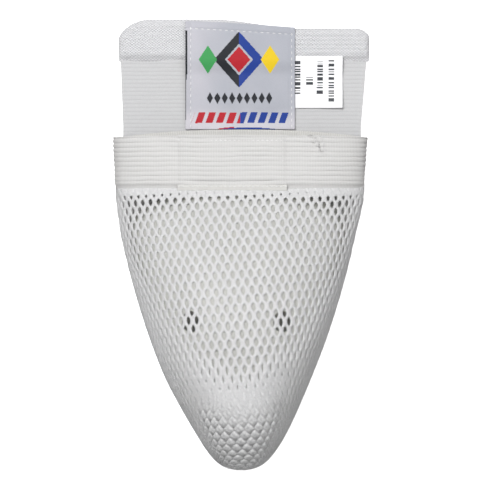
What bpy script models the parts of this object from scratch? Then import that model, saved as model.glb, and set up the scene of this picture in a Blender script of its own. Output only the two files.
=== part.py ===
"""Groin protector for karate: a hard vented cup in a mesh pouch on a folded elastic waist belt.

The protector lies on its back, front up. +X is to the right of someone looking down at it, +Y runs
from the tip of the pouch to the waist, and +Z points out of its front. The origin is on the surface
it lies on, in the middle of its outline. Every soft piece is a thin sheet: a grid of points on its
middle surface, given its thickness by Solidify.
"""

import math

import bmesh
import bpy

MM = 0.001

# Driving sizes of the whole article.
TIP_Y = -112.5 * MM
POUCH_TOP_Y = 27.0 * MM
BAND_TOP_Y = 53.5 * MM
POUCH_HALF_WIDTH = 62.0 * MM
BAND_HALF_WIDTH = 63.0 * MM
REAR_LEFT_X, REAR_RIGHT_X = -60.9 * MM, 62.8 * MM
REAR_LOW_LEFT_X, REAR_LOW_RIGHT_X = -59.6 * MM, 59.4 * MM  # the rear belt narrows towards its fold
BELT_WEB = 75.0 * MM  # width of the elastic that the waist belt is made of
STRAP_WEB = 18.0 * MM  # width of the elastic of the leg straps

# The soft layers don't lie exactly over each other: each has its own middle line.
CUP_X = -1.9 * MM
BAND_X = -0.9 * MM
BELT_X = 0.3 * MM
BINDING_LEFT_X, BINDING_RIGHT_X = -61.9 * MM, 63.9 * MM

# Thicknesses, and the gap kept between pieces that touch.
GAP = 0.3 * MM
ELASTIC = 1.3 * MM
BAND_ELASTIC = 1.5 * MM
MESH_CLOTH = 1.4 * MM
LINING_CLOTH = 0.8 * MM
LABEL_CLOTH = 0.6 * MM
TAG_CARD = 0.4 * MM
PILE_CLOTH = 1.2 * MM
CUP_WALL = 2.2 * MM
CUSHION_RADIUS = 1.6 * MM

# Heights of the middle of each layer above the surface, from the bottom up.
LAYER_STEP = ELASTIC + GAP
STRAP_Z = ELASTIC / 2
BINDING_UNDER_Z = 0.65 * MM
REAR_BELT_Z = 2.15 * MM
BINDING_OVER_Z = 3.7 * MM
FOLD_LOW_Z = REAR_BELT_Z + LAYER_STEP
FOLD_HIGH_Z = FOLD_LOW_Z + LAYER_STEP
FRONT_BELT_Z = FOLD_HIGH_Z + LAYER_STEP
LINING_Z = FRONT_BELT_Z + ELASTIC / 2 + GAP + LINING_CLOTH / 2
LINING_TOP_Z = LINING_Z + LINING_CLOTH / 2
CUSHION_Z = LINING_TOP_Z + GAP + CUSHION_RADIUS
CUP_RIM_Z = CUSHION_Z + CUSHION_RADIUS + GAP + CUP_WALL / 2
POUCH_RIM_Z = LINING_Z

# The belt folds in two runs on each side, between an outer and an inner turn.
FOLD_INNER_X = 10.0 * MM
FRONT_TURN_X = 61.5 * MM
REAR_TURN_X = 58.0 * MM
TURN_STEPS = 5
HINGE_Y = 59.0 * MM
HINGE_Z = REAR_BELT_Z + ELASTIC / 2
HINGE_GAP = 0.4 * MM

# The dome of the pouch over the cup.
CREST_Y = -50.0 * MM
CREST_Z = 54.0 * MM
CREST_Z_AT_BAND = 24.0 * MM
CREST_Z_AT_TIP = 40.0 * MM
FAN_Y = -74.0 * MM  # below this the dome's ribs fan out from one point
TIP_BLUNTNESS, TIP_BLUNT_LENGTH, TIP_ROUNDING = 3.4 * MM, 15.0 * MM, 0.9 * MM
CUP_TOP_Y = 24.0 * MM
CUP_SHOULDER_Y = -12.0 * MM
CUP_SIDE_INSET = 5.4 * MM
CUP_CREST_INSET = 4.4 * MM
CUP_TIP_INSET = 4.8 * MM
SEAM_GAP = 0.8 * MM  # between the mesh cloth and the band sewn to it
VENT_X, VENT_Y, VENT_RADIUS = 22.3 * MM, -37.0 * MM, 6.2 * MM

# The belt's side turns slant inwards, to stay behind the pouch. The bead that binds the pouch's
# lower edge stops short of the belt.
BELT_LOW_Y = BAND_TOP_Y + 3.5 * MM - BELT_WEB
BELT_LOW_WIDTH = 0.79
BEAD_TOP_Y = BELT_LOW_Y - 3.0 * MM

# The leg straps, each folded into three layers along its length.
STRAP_ANCHOR_X, STRAP_ANCHOR_Y = 12.0 * MM, -90.0 * MM
STRAP_END_X, STRAP_END_Y = 34.0 * MM, 40.0 * MM
STRAP_FOLD_LENGTH = 66.0 * MM
STRAP_PIVOT_INSET = 5.0 * MM


def clear_scene():
    for old in list(bpy.data.objects):
        bpy.data.objects.remove(old, do_unlink=True)


def finish_of(name, colour, roughness, metallic=0.0):
    """A Principled BSDF material of one linear colour."""
    material = bpy.data.materials.new(name)
    material.use_nodes = True
    shader = material.node_tree.nodes["Principled BSDF"]
    shader.inputs["Base Color"].default_value = (*colour, 1.0)
    shader.inputs["Roughness"].default_value = roughness
    shader.inputs["Metallic"].default_value = metallic
    return material


def collection_of(name, rendered=True):
    made = bpy.data.collections.new(name)
    made.hide_render = not rendered
    bpy.context.scene.collection.children.link(made)
    return made


def place(name, data, material, collection):
    """Adds an object to the model under its node's name."""
    made = bpy.data.objects.new(name, data)
    if material is not None:
        data.materials.append(material)
    collection.objects.link(made)
    return made


def sheet(name, grid, thickness, material, collection, cyclic=False):
    """A cloth-like piece: rows of points on its middle surface, made a closed body by Solidify."""
    mesh = bmesh.new()
    rows = [[mesh.verts.new(point) for point in row] for row in grid]
    for low, high in zip(rows, rows[1:]):
        count = len(low)
        for i in range(count if cyclic else count - 1):
            j = (i + 1) % count
            mesh.faces.new((low[i], low[j], high[j], high[i]))
    bmesh.ops.remove_doubles(mesh, verts=mesh.verts, dist=0.01 * MM)
    bmesh.ops.recalc_face_normals(mesh, faces=mesh.faces)
    data = bpy.data.meshes.new(name)
    mesh.to_mesh(data)
    mesh.free()
    data.shade_smooth()
    made = place(name, data, material, collection)
    shell = made.modifiers.new("thickness", "SOLIDIFY")
    shell.thickness = thickness
    shell.offset = 0.0
    shell.use_even_offset = True
    return made


def panel(name, outline, z, thickness, material, collection):
    """A flat panel cut to an outline of (x, y) points."""
    curve = bpy.data.curves.new(name, "CURVE")
    curve.dimensions = "2D"
    curve.fill_mode = "BOTH"
    curve.extrude = thickness / 2
    spline = curve.splines.new("POLY")
    spline.points.add(len(outline) - 1)
    for point, (x, y) in zip(spline.points, outline):
        point.co = (x, y, 0.0, 1.0)
    spline.use_cyclic_u = True
    made = place(name, curve, material, collection)
    made.location.z = z
    return made


def tube(name, route, radius, material, collection, closed):
    """A round bead along a route of points."""
    curve = bpy.data.curves.new(name, "CURVE")
    curve.dimensions = "3D"
    curve.bevel_depth = radius
    curve.bevel_resolution = 2
    curve.use_fill_caps = not closed
    spline = curve.splines.new("POLY")
    spline.points.add(len(route) - 1)
    for point, place_on_route in zip(spline.points, route):
        point.co = (*place_on_route, 1.0)
    spline.use_cyclic_u = closed
    return place(name, curve, material, collection)


def turn(centre_a, centre_z, radius, start_deg, end_deg):
    """Points of a round fold seen from its end, as (along, height) pairs."""
    angles = [
        math.radians(start_deg + (end_deg - start_deg) * i / TURN_STEPS)
        for i in range(TURN_STEPS + 1)
    ]
    return [(centre_a + radius * math.cos(a), centre_z + radius * math.sin(a)) for a in angles]


# ---------------------------------------------------------------- the dome of the pouch and the cup


def pouch_half_width(y, tip_y=TIP_Y, widest=POUCH_HALF_WIDTH):
    """Half of the pouch's width at y: a long taper with a blunt round tip."""
    share = min(1.0, max(0.0, (POUCH_TOP_Y - y) / (POUCH_TOP_Y - tip_y)))
    above = max(0.0, y - tip_y)
    blunt = math.exp(-((above / TIP_BLUNT_LENGTH) ** 1.5)) * (1.0 - math.exp(-above / TIP_ROUNDING))
    return widest * (1.0 - share**1.25) ** 0.58 + TIP_BLUNTNESS * blunt


def crest_height(y):
    """Height of the pouch's middle line over the surface, at y."""
    if y > CREST_Y:
        share = (y - CREST_Y) / (POUCH_TOP_Y - CREST_Y)
        return CREST_Z - (CREST_Z - CREST_Z_AT_BAND) * share**1.7
    share = (CREST_Y - y) / (CREST_Y - TIP_Y)
    return CREST_Z - (CREST_Z - CREST_Z_AT_TIP) * share**2


def dome_point(rim, focus_y, reach, base_z, inset_z, squareness=2.3):
    """A point of the dome, at reach 0 on its middle line and 1 at its rim."""
    x = CUP_X + (rim[0] - CUP_X) * reach
    y = focus_y + (rim[1] - focus_y) * reach
    top = crest_height(y) - inset_z
    return (x, y, base_z + (top - base_z) * (1.0 - reach**squareness) ** 0.5)


def pouch_rim(columns, inset):
    """The pouch's outline from its top left, round the tip, to its top right."""
    top_y = POUCH_TOP_Y - SEAM_GAP / 2
    points = []
    for i in range(columns + 1):
        side = 2.0 * i / columns - 1.0
        share = math.cos(side * math.pi / 2) ** 1.15
        y = top_y + (TIP_Y + inset - top_y) * share
        half = pouch_half_width(y, TIP_Y + inset, POUCH_HALF_WIDTH - inset)
        points.append((CUP_X + math.copysign(half, side), y))
    points[columns // 2] = (CUP_X, TIP_Y + inset)
    return points


def cup_half_width(y):
    """Half of the cup's width at y: the pouch's taper, closed by two round shoulders at the top."""
    half = pouch_half_width(y, TIP_Y + CUP_TIP_INSET, POUCH_HALF_WIDTH - CUP_SIDE_INSET)
    if y <= CUP_SHOULDER_Y:
        return half
    share = min(1.0, (y - CUP_SHOULDER_Y) / (CUP_TOP_Y - CUP_SHOULDER_Y))
    return half * (1.0 - share**2.6) ** (1.0 / 2.6)


def cup_rim(columns):
    """The cup's closed outline, starting at its top and running down its right side."""
    tip_y = TIP_Y + CUP_TIP_INSET
    middle_y, half_length = (CUP_TOP_Y + tip_y) / 2, (CUP_TOP_Y - tip_y) / 2
    points = []
    for i in range(columns):
        angle = 2.0 * math.pi * i / columns
        y = middle_y + half_length * math.cos(angle)
        side = 0.0 if i in (0, columns // 2) else math.copysign(1.0, math.sin(angle))
        points.append((CUP_X + side * cup_half_width(y), y))
    return points


def reaches(rows):
    """Steps from the middle line to the rim, closer together where the dome is steep."""
    return [math.sin(math.pi / 2 * i / rows) for i in range(rows + 1)]


def build_pouch(cloth, lining, elastic, collection):
    """The mesh front, its lining and the bead that binds their edge."""
    rim = pouch_rim(48, MESH_CLOTH / 2)
    grid = [
        [
            dome_point(point, max(point[1], FAN_Y), reach, POUCH_RIM_Z, MESH_CLOTH / 2)
            for point in rim
        ]
        for reach in reaches(8)
    ]
    sheet("pouch_mesh", grid, MESH_CLOTH, cloth, collection)

    edge_inset = MESH_CLOTH + 2.0 * GAP
    panel("pouch_lining", pouch_rim(48, edge_inset), LINING_Z, LINING_CLOTH, lining, collection)

    bead = 1.0 * MM
    bead_z = LINING_Z - LINING_CLOTH / 2 - GAP - bead
    low_rim = [point for point in pouch_rim(64, MESH_CLOTH + bead) if point[1] < BEAD_TOP_Y]
    route = [(x, y, bead_z) for x, y in low_rim]
    tube("pouch_edge_binding", route, bead, elastic, collection, closed=False)


def build_cup(shell_finish, cushion_finish, collection, cutters):
    """The hard cup, open at the back, with two round vents and a soft bead under its rim."""
    rim = cup_rim(56)
    focus = [min(max(y, FAN_Y), CUP_SHOULDER_Y) for _, y in rim]
    grid = [
        [
            dome_point(point, focus_y, reach, CUP_RIM_Z, CUP_CREST_INSET)
            for point, focus_y in zip(rim, focus)
        ]
        for reach in reaches(8)
    ]
    shell = sheet("cup_shell", grid, CUP_WALL, shell_finish, collection, cyclic=True)
    for side in (-1, 1):
        data = bpy.data.meshes.new("vent_cutter")
        mesh = bmesh.new()
        bmesh.ops.create_cone(
            mesh,
            cap_ends=True,
            segments=20,
            radius1=VENT_RADIUS,
            radius2=VENT_RADIUS,
            depth=CREST_Z,
        )
        mesh.to_mesh(data)
        mesh.free()
        cutter = place("vent_cutter", data, None, cutters)
        cutter.location = (CUP_X + side * VENT_X, VENT_Y, CREST_Z)
        cutter.hide_render = True
        cutter.display_type = "WIRE"
        cut = shell.modifiers.new("vent", "BOOLEAN")
        cut.operation = "DIFFERENCE"
        cut.object = cutter
    route = [(x, y, CUSHION_Z) for x, y in cup_rim(56)]
    tube("cup_edge_cushion", route, CUSHION_RADIUS, cushion_finish, collection, closed=True)


# ------------------------------------------------------------------------ the pouch's front band


def band_height(x, lift=0.0):
    """Height of the front band over the surface, at x: flat in front, turning down at its ends."""
    base = LINING_Z + BAND_ELASTIC / 2
    share = min(1.0, abs(x - BAND_X) / (BAND_HALF_WIDTH - BAND_ELASTIC / 2))
    return base + (CREST_Z_AT_BAND - BAND_ELASTIC / 2 - base) * (1.0 - share**3) ** 0.45 + lift


def band_columns(low_x, high_x, count):
    """Places across the band, closer together towards its ends."""
    half = BAND_HALF_WIDTH - BAND_ELASTIC / 2
    low, high = (math.asin(max(-1.0, min(1.0, (x - BAND_X) / half))) for x in (low_x, high_x))
    return [BAND_X + half * math.sin(low + (high - low) * i / count) for i in range(count + 1)]


def build_front_band(elastic, tape, collection):
    """The elastic band on the pouch's top edge, its middle patch and the tape that covers the seam."""
    foot = 6.5 * MM
    half = BAND_HALF_WIDTH - BAND_ELASTIC / 2
    columns = band_columns(BAND_X - half, BAND_X + half, 28)
    base = band_height(BAND_X + half)
    path = [(BAND_X - half + foot, base), *[(x, band_height(x)) for x in columns]]
    path.append((BAND_X + half - foot, base))
    grid = [[(x, y, z) for x, z in path] for y in (POUCH_TOP_Y + SEAM_GAP / 2, BAND_TOP_Y)]
    sheet("front_band", grid, BAND_ELASTIC, elastic, collection)

    patch_lift = BAND_ELASTIC / 2 + GAP + ELASTIC / 2
    patch_columns = band_columns(-32.6 * MM, 22.9 * MM, 10)
    grid = [
        [(x, y, band_height(x, patch_lift)) for x in patch_columns]
        for y in (29.4 * MM, BAND_TOP_Y + 0.5 * MM)
    ]
    sheet("front_band_patch", grid, ELASTIC, elastic, collection)

    tape_lift = BAND_ELASTIC / 2 + GAP + LINING_CLOTH / 2
    grid = [
        [(x, y, band_height(x, tape_lift + rise)) for x in patch_columns]
        for y, rise in ((25.2 * MM, 1.5 * MM), (27.0 * MM, 0.3 * MM), (29.0 * MM, 0.0))
    ]
    sheet("mesh_hem_tape", grid, LINING_CLOTH, tape, collection)


# ------------------------------------------------------------------------------ the waist belt


def belt_top_y(x):
    """The belt's upper edge at x: high on the left of the middle, with a round corner at each end."""
    rise = min(1.0, max(0.0, (30.0 * MM - x) / (45.0 * MM)))
    top = 107.9 * MM + 4.6 * MM * rise * rise * (3.0 - 2.0 * rise)
    left = min(1.0, max(0.0, (-45.0 * MM - x) / (17.4 * MM)))
    right = min(1.0, max(0.0, (x - 57.0 * MM) / (7.3 * MM)))
    top -= 13.5 * MM * (1.0 - math.sqrt(1.0 - left * left))
    return top - 7.0 * MM * (1.0 - math.sqrt(1.0 - right * right))


def rear_columns(low_x, high_x, count):
    """Places across the rear belt, closer together towards its ends."""
    middle, half = (low_x + high_x) / 2, (high_x - low_x) / 2
    return [middle - half * math.cos(math.pi * i / count) for i in range(count + 1)]


def slanted(x, y):
    """Moves a point of the belt's front towards the middle, more the lower it is."""
    share = min(1.0, (BAND_TOP_Y - y) / (BAND_TOP_Y - BELT_LOW_Y))
    return BELT_X + (x - BELT_X) * (1.0 - (1.0 - BELT_LOW_WIDTH) * share)


def build_front_belt(elastic, collection):
    """The belt's front run, behind the cup, with its ends turned under; its top edge bows up."""
    half = FRONT_TURN_X
    left = turn(BELT_X - half, (FRONT_BELT_Z + FOLD_HIGH_Z) / 2, LAYER_STEP / 2, 270, 90)
    right = turn(BELT_X + half, (FRONT_BELT_Z + FOLD_HIGH_Z) / 2, LAYER_STEP / 2, 90, -90)
    flat = [(BELT_X + half * (i / 10.0 - 1.0), FRONT_BELT_Z) for i in range(1, 20)]
    path = [*left, *flat, *right]

    def top_y(x):
        share = min(1.0, abs(x - BELT_X) / half)
        return BAND_TOP_Y - 0.5 * MM + 4.0 * MM * (1.0 - share**2.5)

    low_edge = [(slanted(x, BELT_LOW_Y), BELT_LOW_Y, z) for x, z in path]
    grid = [low_edge, [(x, top_y(x), z) for x, z in path]]
    sheet("front_belt", grid, ELASTIC, elastic, collection)


def build_belt_folds(elastic, collection):
    """The slack of the belt on each side, folded flat in two runs under the pouch."""
    high_y = BAND_TOP_Y - 0.5 * MM
    for name, side in (("belt_fold_left", -1), ("belt_fold_right", 1)):
        inner = turn(FOLD_INNER_X, (FOLD_LOW_Z + FOLD_HIGH_Z) / 2, LAYER_STEP / 2, 90, 270)
        ends = (FRONT_TURN_X - 2.0 * GAP, FOLD_HIGH_Z), (REAR_TURN_X - 2.0 * GAP, FOLD_LOW_Z)
        path = [ends[0], *inner, ends[1]]
        grid = [
            [(slanted(BELT_X + side * x, y), y, z) for x, z in path] for y in (BELT_LOW_Y, high_y)
        ]
        sheet(name, grid, ELASTIC, elastic, collection)


def build_rear_belt(elastic, pile, collection):
    """The belt's rear run: the part that lies flat above the pouch, and the part tucked under it."""
    half = REAR_TURN_X
    middle_z = (REAR_BELT_Z + FOLD_LOW_Z) / 2
    left = turn(BELT_X - half, middle_z, LAYER_STEP / 2, 90, 270)
    right = turn(BELT_X + half, middle_z, LAYER_STEP / 2, -90, 90)
    low_y = HINGE_Y - 21.0 * MM
    grid = [[(x, y, z) for x, z in [*left, *right]] for y in (low_y, HINGE_Y - HINGE_GAP)]
    sheet("rear_belt_lower", grid, ELASTIC, elastic, collection)

    columns = rear_columns(REAR_LEFT_X, REAR_RIGHT_X, 24)
    edge_drop = 3.4 * MM
    outline = [(x, belt_top_y(x) - edge_drop) for x in columns]
    fold_y = HINGE_Y + HINGE_GAP
    outline += [(REAR_LOW_RIGHT_X, fold_y), (REAR_LOW_LEFT_X, fold_y)]
    panel("rear_belt", outline, REAR_BELT_Z, ELASTIC, elastic, collection)

    radius = (BINDING_OVER_Z - BINDING_UNDER_Z) / 2
    thickness = PILE_CLOTH
    front_y, back_y = 91.5 * MM, 88.8 * MM
    grid = []
    for x in rear_columns(BINDING_LEFT_X + thickness / 2, BINDING_RIGHT_X - thickness / 2, 30):
        edge_y = belt_top_y(x) - radius - thickness / 2
        fold = turn(edge_y, BINDING_UNDER_Z + radius, radius, 90, -90)
        path = [(front_y, BINDING_OVER_Z), *fold, (back_y, BINDING_UNDER_Z)]
        grid.append([(x, y, z) for y, z in path])
    sheet("rear_belt_binding", grid, thickness, pile, collection)


def build_labels(satin, card, collection):
    """The woven label in the middle of the rear belt and the size tag under its right edge."""
    step_high, step_low = 90.6 * MM, 88.0 * MM
    tag_drop = BINDING_OVER_Z - REAR_BELT_Z
    tag_z = BINDING_OVER_Z + BINDING_UNDER_Z + GAP + TAG_CARD / 2
    label_z = tag_z + TAG_CARD / 2 + GAP + LABEL_CLOTH / 2

    grid = []
    for i in range(9):
        x = (-29.1 + 54.2 * i / 8) * MM
        top_y = belt_top_y(x) - 0.5 * MM
        low_z = label_z - tag_drop
        path = [(top_y, label_z), (step_high, label_z), (step_low, low_z), (HINGE_Y + HINGE_GAP, low_z)]
        grid.append([(x, y, z) for y, z in path])
    sheet("woven_label", grid, LABEL_CLOTH, satin, collection)

    low_z = tag_z - tag_drop
    path = [(94.0 * MM, tag_z), (step_high, tag_z), (step_low, low_z), (68.2 * MM, low_z)]
    grid = [[(x, y, z) for y, z in path] for x in (20.0 * MM, 49.6 * MM)]
    sheet("size_tag", grid, TAG_CARD, card, collection)


# ------------------------------------------------------------------------------- the leg straps


def build_leg_straps(elastic, tape, collection):
    """Two elastic straps from the pouch's tip to the belt, each folded in three along its length."""
    run = math.hypot(STRAP_END_X - STRAP_ANCHOR_X, STRAP_END_Y - STRAP_ANCHOR_Y)
    tilt = math.atan2(STRAP_END_X - STRAP_ANCHOR_X, STRAP_END_Y - STRAP_ANCHOR_Y)
    low, middle, high = (STRAP_Z + LAYER_STEP * i for i in range(3))
    radius = LAYER_STEP / 2
    path = [(-STRAP_PIVOT_INSET, high), (STRAP_FOLD_LENGTH, high)]
    path += turn(STRAP_FOLD_LENGTH, high - radius, radius, 90, -90)[1:]
    path += turn(STRAP_PIVOT_INSET, middle - radius, radius, 90, 270)
    path.append((run, low))
    for name, side in (("leg_strap_left", -1), ("leg_strap_right", 1)):
        grid = [[(across * STRAP_WEB / 2, along, z) for along, z in path] for across in (-1, 1)]
        strap = sheet(name, grid, ELASTIC, elastic, collection)
        strap.location = (CUP_X + side * STRAP_ANCHOR_X, STRAP_ANCHOR_Y, 0.0)
        strap.rotation_euler.z = -side * tilt

    tab_half_x, tab_low_y, tab_high_y = 17.0 * MM, -97.0 * MM, -84.0 * MM
    corners = ((-1, tab_low_y), (1, tab_low_y), (1, tab_high_y), (-1, tab_high_y))
    outline = [(CUP_X + side * tab_half_x, y) for side, y in corners]
    tab_z = high + ELASTIC / 2 + GAP + LABEL_CLOTH / 2
    panel("strap_anchor_tab", outline, tab_z, LABEL_CLOTH, tape, collection)


def main():
    clear_scene()
    protector = collection_of("groin_protector")
    cutters = collection_of("cutters", rendered=False)

    ribbed_elastic = finish_of("ribbed_elastic", (0.70, 0.70, 0.69), 0.9)
    mesh_cloth = finish_of("mesh_cloth", (0.72, 0.72, 0.71), 0.85)
    lining_knit = finish_of("lining_knit", (0.70, 0.70, 0.70), 0.95)
    pile_cloth = finish_of("pile_cloth", (0.68, 0.68, 0.69), 1.0)
    hem_tape = finish_of("hem_tape", (0.75, 0.75, 0.74), 0.9)
    label_satin = finish_of("label_satin", (0.58, 0.60, 0.64), 0.45)
    tag_card = finish_of("tag_card", (0.82, 0.82, 0.83), 0.6)
    cup_plastic = finish_of("cup_plastic", (0.62, 0.62, 0.58), 0.4)
    cushion_rubber = finish_of("cushion_rubber", (0.66, 0.66, 0.65), 0.6)

    build_pouch(mesh_cloth, lining_knit, hem_tape, protector)
    build_cup(cup_plastic, cushion_rubber, protector, cutters)
    build_front_band(ribbed_elastic, hem_tape, protector)
    build_front_belt(ribbed_elastic, protector)
    build_belt_folds(ribbed_elastic, protector)
    build_rear_belt(ribbed_elastic, pile_cloth, protector)
    build_labels(label_satin, tag_card, protector)
    build_leg_straps(ribbed_elastic, hem_tape, protector)


main()
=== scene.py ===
"""The looks of a groin protector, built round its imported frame.

A knitted net is stretched over a hard cup. Ribbed elastics make the band, the waist belt and the leg
straps, and a soft pile, a woven label and a size tag lie over the belt's rear run. Sizes are in
millimetres until a mesh is made.
"""

from __future__ import annotations

import logging
import math
from collections.abc import Callable, Sequence
from dataclasses import dataclass, field
from enum import Enum

import bmesh
import bpy
import numpy as np
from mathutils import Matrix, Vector

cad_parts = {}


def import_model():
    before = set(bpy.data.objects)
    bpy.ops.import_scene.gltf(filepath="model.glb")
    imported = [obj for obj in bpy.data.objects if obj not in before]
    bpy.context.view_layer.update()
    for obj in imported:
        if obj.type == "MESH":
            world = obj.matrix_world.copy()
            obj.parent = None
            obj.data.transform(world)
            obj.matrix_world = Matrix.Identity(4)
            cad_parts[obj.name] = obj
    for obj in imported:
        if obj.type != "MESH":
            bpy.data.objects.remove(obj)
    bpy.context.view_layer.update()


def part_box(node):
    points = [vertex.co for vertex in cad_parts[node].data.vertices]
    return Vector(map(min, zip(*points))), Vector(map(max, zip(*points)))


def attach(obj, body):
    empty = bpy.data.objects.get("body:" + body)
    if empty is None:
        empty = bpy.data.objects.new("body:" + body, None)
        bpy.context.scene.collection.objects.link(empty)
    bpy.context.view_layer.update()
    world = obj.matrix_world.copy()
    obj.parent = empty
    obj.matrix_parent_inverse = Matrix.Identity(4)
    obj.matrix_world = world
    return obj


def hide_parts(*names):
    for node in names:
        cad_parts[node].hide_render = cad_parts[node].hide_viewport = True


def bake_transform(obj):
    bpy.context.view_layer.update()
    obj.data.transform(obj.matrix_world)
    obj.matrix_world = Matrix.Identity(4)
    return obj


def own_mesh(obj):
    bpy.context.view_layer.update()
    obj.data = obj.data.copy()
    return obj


MM = 0.001
MATH, VECTOR_MATH = "ShaderNodeMath", "ShaderNodeVectorMath"
WEAVE = "weave_mm"  # the attribute that holds each point's place on its own cloth
THREADS = "threads"  # the colour attribute of a cloth woven in several colours
log = logging.getLogger("groin_protector")


class Body(Enum):
    """The rigid bodies that pieces ride on."""

    POUCH = "pouch"
    REAR_BELT = "rear_belt"
    CUP = "cup"
    STRAP_LEFT = "leg_strap_left"
    STRAP_RIGHT = "leg_strap_right"


class Weave(Enum):
    """How a cloth's threads run: how much the second system slants the first, and if they cross."""

    PLAIN = (0.0, True)
    RIB = (0.0, False)
    TWILL = (1.0, False)


# ------------------------------------------------------------------------------------- small helpers


def linear(code: str) -> tuple[float, float, float, float]:
    """Turns an sRGB hex colour into linear RGBA.

    Args:
        code: the colour, such as "#d8d8d4".

    Returns:
        The linear colour, with full alpha.
    """
    shares = [int(code[i : i + 2], 16) / 255 for i in (1, 3, 5)]
    low = [share / 12.92 if share <= 0.04045 else ((share + 0.055) / 1.055) ** 2.4 for share in shares]
    return (*low, 1.0)


def add(
    tree: bpy.types.NodeTree, kind: str, inputs: dict | None = None, **settings: object
) -> bpy.types.Node:
    """Adds a node with its settings, and sets or links its inputs.

    Args:
        tree: the tree that the node goes in.
        kind: the node's type name.
        inputs: for each input's name or number, a value, a socket, or a node whose first output it takes.
        **settings: the node's own properties.

    Returns:
        The new node.
    """
    made = tree.nodes.new(kind)
    for name, value in settings.items():
        setattr(made, name, value)
    for name, value in (inputs or {}).items():
        source = value.outputs[0] if isinstance(value, bpy.types.Node) else value
        if isinstance(source, bpy.types.NodeSocket):
            tree.links.new(source, made.inputs[name])
        else:
            made.inputs[name].default_value = source
    return made


def box_mm(node: str) -> tuple[np.ndarray, np.ndarray]:
    """Gives a frame node's lowest and highest corners in millimetres."""
    low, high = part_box(node)
    return np.array(low) / MM, np.array(high) / MM


def waves(along: np.ndarray, across: np.ndarray, length: float, phase: float = 0.0) -> np.ndarray:
    """A soft uneven swell, the same on each run.

    Args:
        along: places along the cloth.
        across: places across the cloth.
        length: the swell's usual wavelength.
        phase: a number that makes one swell unlike another.

    Returns:
        Heights from about -1 to 1.
    """
    total = np.zeros(np.broadcast(along, across).shape)
    for i, (a, b) in enumerate(((1.0, 0.31), (-0.47, 0.93), (0.71, -0.83), (1.63, 1.21))):
        total += np.sin(2 * math.pi * (a * along + b * across) / length + phase * (i + 1.7)) / (1 + 0.4 * i)
    return total / 2.6


def soft_step(value: np.ndarray | float, low: float, high: float) -> np.ndarray | float:
    """Rises smoothly from 0 at low to 1 at high."""
    share = np.clip((value - low) / (high - low), 0.0, 1.0)
    return share * share * (3.0 - 2.0 * share)


def even_path(corners: Sequence[Sequence[float]], step: float, rounds: int = 3) -> np.ndarray:
    """Rounds a polyline's corners and divides it evenly.

    Args:
        corners: the polyline's points, in two or three dimensions.
        step: the length of one division.
        rounds: how many times the corners are cut.

    Returns:
        The points, one row each.
    """
    points = np.array(corners, dtype=float)
    for _ in range(rounds):
        near = points[:-1] * 0.75 + points[1:] * 0.25
        far = points[:-1] * 0.25 + points[1:] * 0.75
        cut = np.stack((near, far), axis=1).reshape(-1, points.shape[1])
        points = np.vstack((points[:1], cut, points[-1:]))
    run = run_length(points)
    places = np.linspace(0.0, run[-1], max(2, round(run[-1] / step) + 1))
    return np.stack([np.interp(places, run, points[:, k]) for k in range(points.shape[1])], axis=1)


def run_length(points: np.ndarray) -> np.ndarray:
    """The distance along a polyline to each of its points."""
    return np.concatenate(([0.0], np.cumsum(np.linalg.norm(np.diff(points, axis=0), axis=1))))


def grid_normals(middle: np.ndarray) -> np.ndarray:
    """Unit normals of a grid of points whose rows run across and whose columns run along."""
    across, along = np.gradient(middle, axis=0), np.gradient(middle, axis=1)
    normal = np.cross(along, across)
    return normal / np.maximum(np.linalg.norm(normal, axis=2, keepdims=True), 1e-9)


def grid_faces(index: np.ndarray) -> np.ndarray:
    """The faces of a grid of point numbers, four points each."""
    corners = (index[:-1, :-1], index[:-1, 1:], index[1:, 1:], index[1:, :-1])
    return np.stack(corners, axis=2).reshape(-1, 4)


def distance_to(route: np.ndarray, x: np.ndarray, y: np.ndarray) -> np.ndarray:
    """Distance from each place to the nearest point of a flat route."""
    away = np.full(np.broadcast(x, y).shape, math.inf)
    for route_x, route_y in route:
        away = np.minimum(away, np.hypot(x - route_x, y - route_y))
    return away


def fold_arc(x: float, z: float, radius: float, start: float, end: float) -> list[tuple[float, float]]:
    """Points of a round fold between two layers, from one angle in degrees to another."""
    angles = np.radians(np.linspace(start, end, 9))
    return [(x + radius * math.cos(a), z + radius * math.sin(a)) for a in angles]


def placed(name: str, data: bpy.types.ID) -> bpy.types.Object:
    """Puts data in the scene as an object, and gives the object."""
    made = bpy.data.objects.new(name, data)
    bpy.context.scene.collection.objects.link(made)
    return made


def mend(data: bpy.types.Mesh, weld: float = 0.0, sides: int = 0) -> None:
    """Turns a mesh's faces outward.

    Args:
        data: the mesh.
        weld: points closer than this, in millimetres, are first made one.
        sides: holes of up to this many sides are first filled.
    """
    mesh = bmesh.new()
    mesh.from_mesh(data)
    if weld:
        bmesh.ops.remove_doubles(mesh, verts=mesh.verts, dist=weld * MM)
    if sides:
        bmesh.ops.holes_fill(mesh, edges=[edge for edge in mesh.edges if edge.is_boundary], sides=sides)
    bmesh.ops.recalc_face_normals(mesh, faces=mesh.faces)
    mesh.to_mesh(data)
    mesh.free()


def object_of(
    name: str, points: np.ndarray, faces: np.ndarray | list, weave: np.ndarray | None = None,
    material: bpy.types.Material | None = None,
) -> bpy.types.Object:
    """Makes a smooth mesh object.

    Args:
        name: the object's name.
        points: its points in millimetres, one row each.
        faces: its faces, as rows of point numbers.
        weave: each point's place on the flat cloth, in millimetres.
        material: its material.

    Returns:
        The object, with outward faces.
    """
    data = bpy.data.meshes.new(name)
    data.from_pydata((np.asarray(points) * MM).tolist(), [], np.asarray(faces).tolist())
    if weave is not None:
        layer = data.attributes.new(WEAVE, "FLOAT_VECTOR", "POINT")
        flat = np.zeros((len(points), 3))
        flat[:, :2] = weave
        layer.data.foreach_set("vector", flat.ravel())
    mend(data)
    data.shade_smooth()
    if material is not None:
        data.materials.append(material)
    return placed(name, data)


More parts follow.
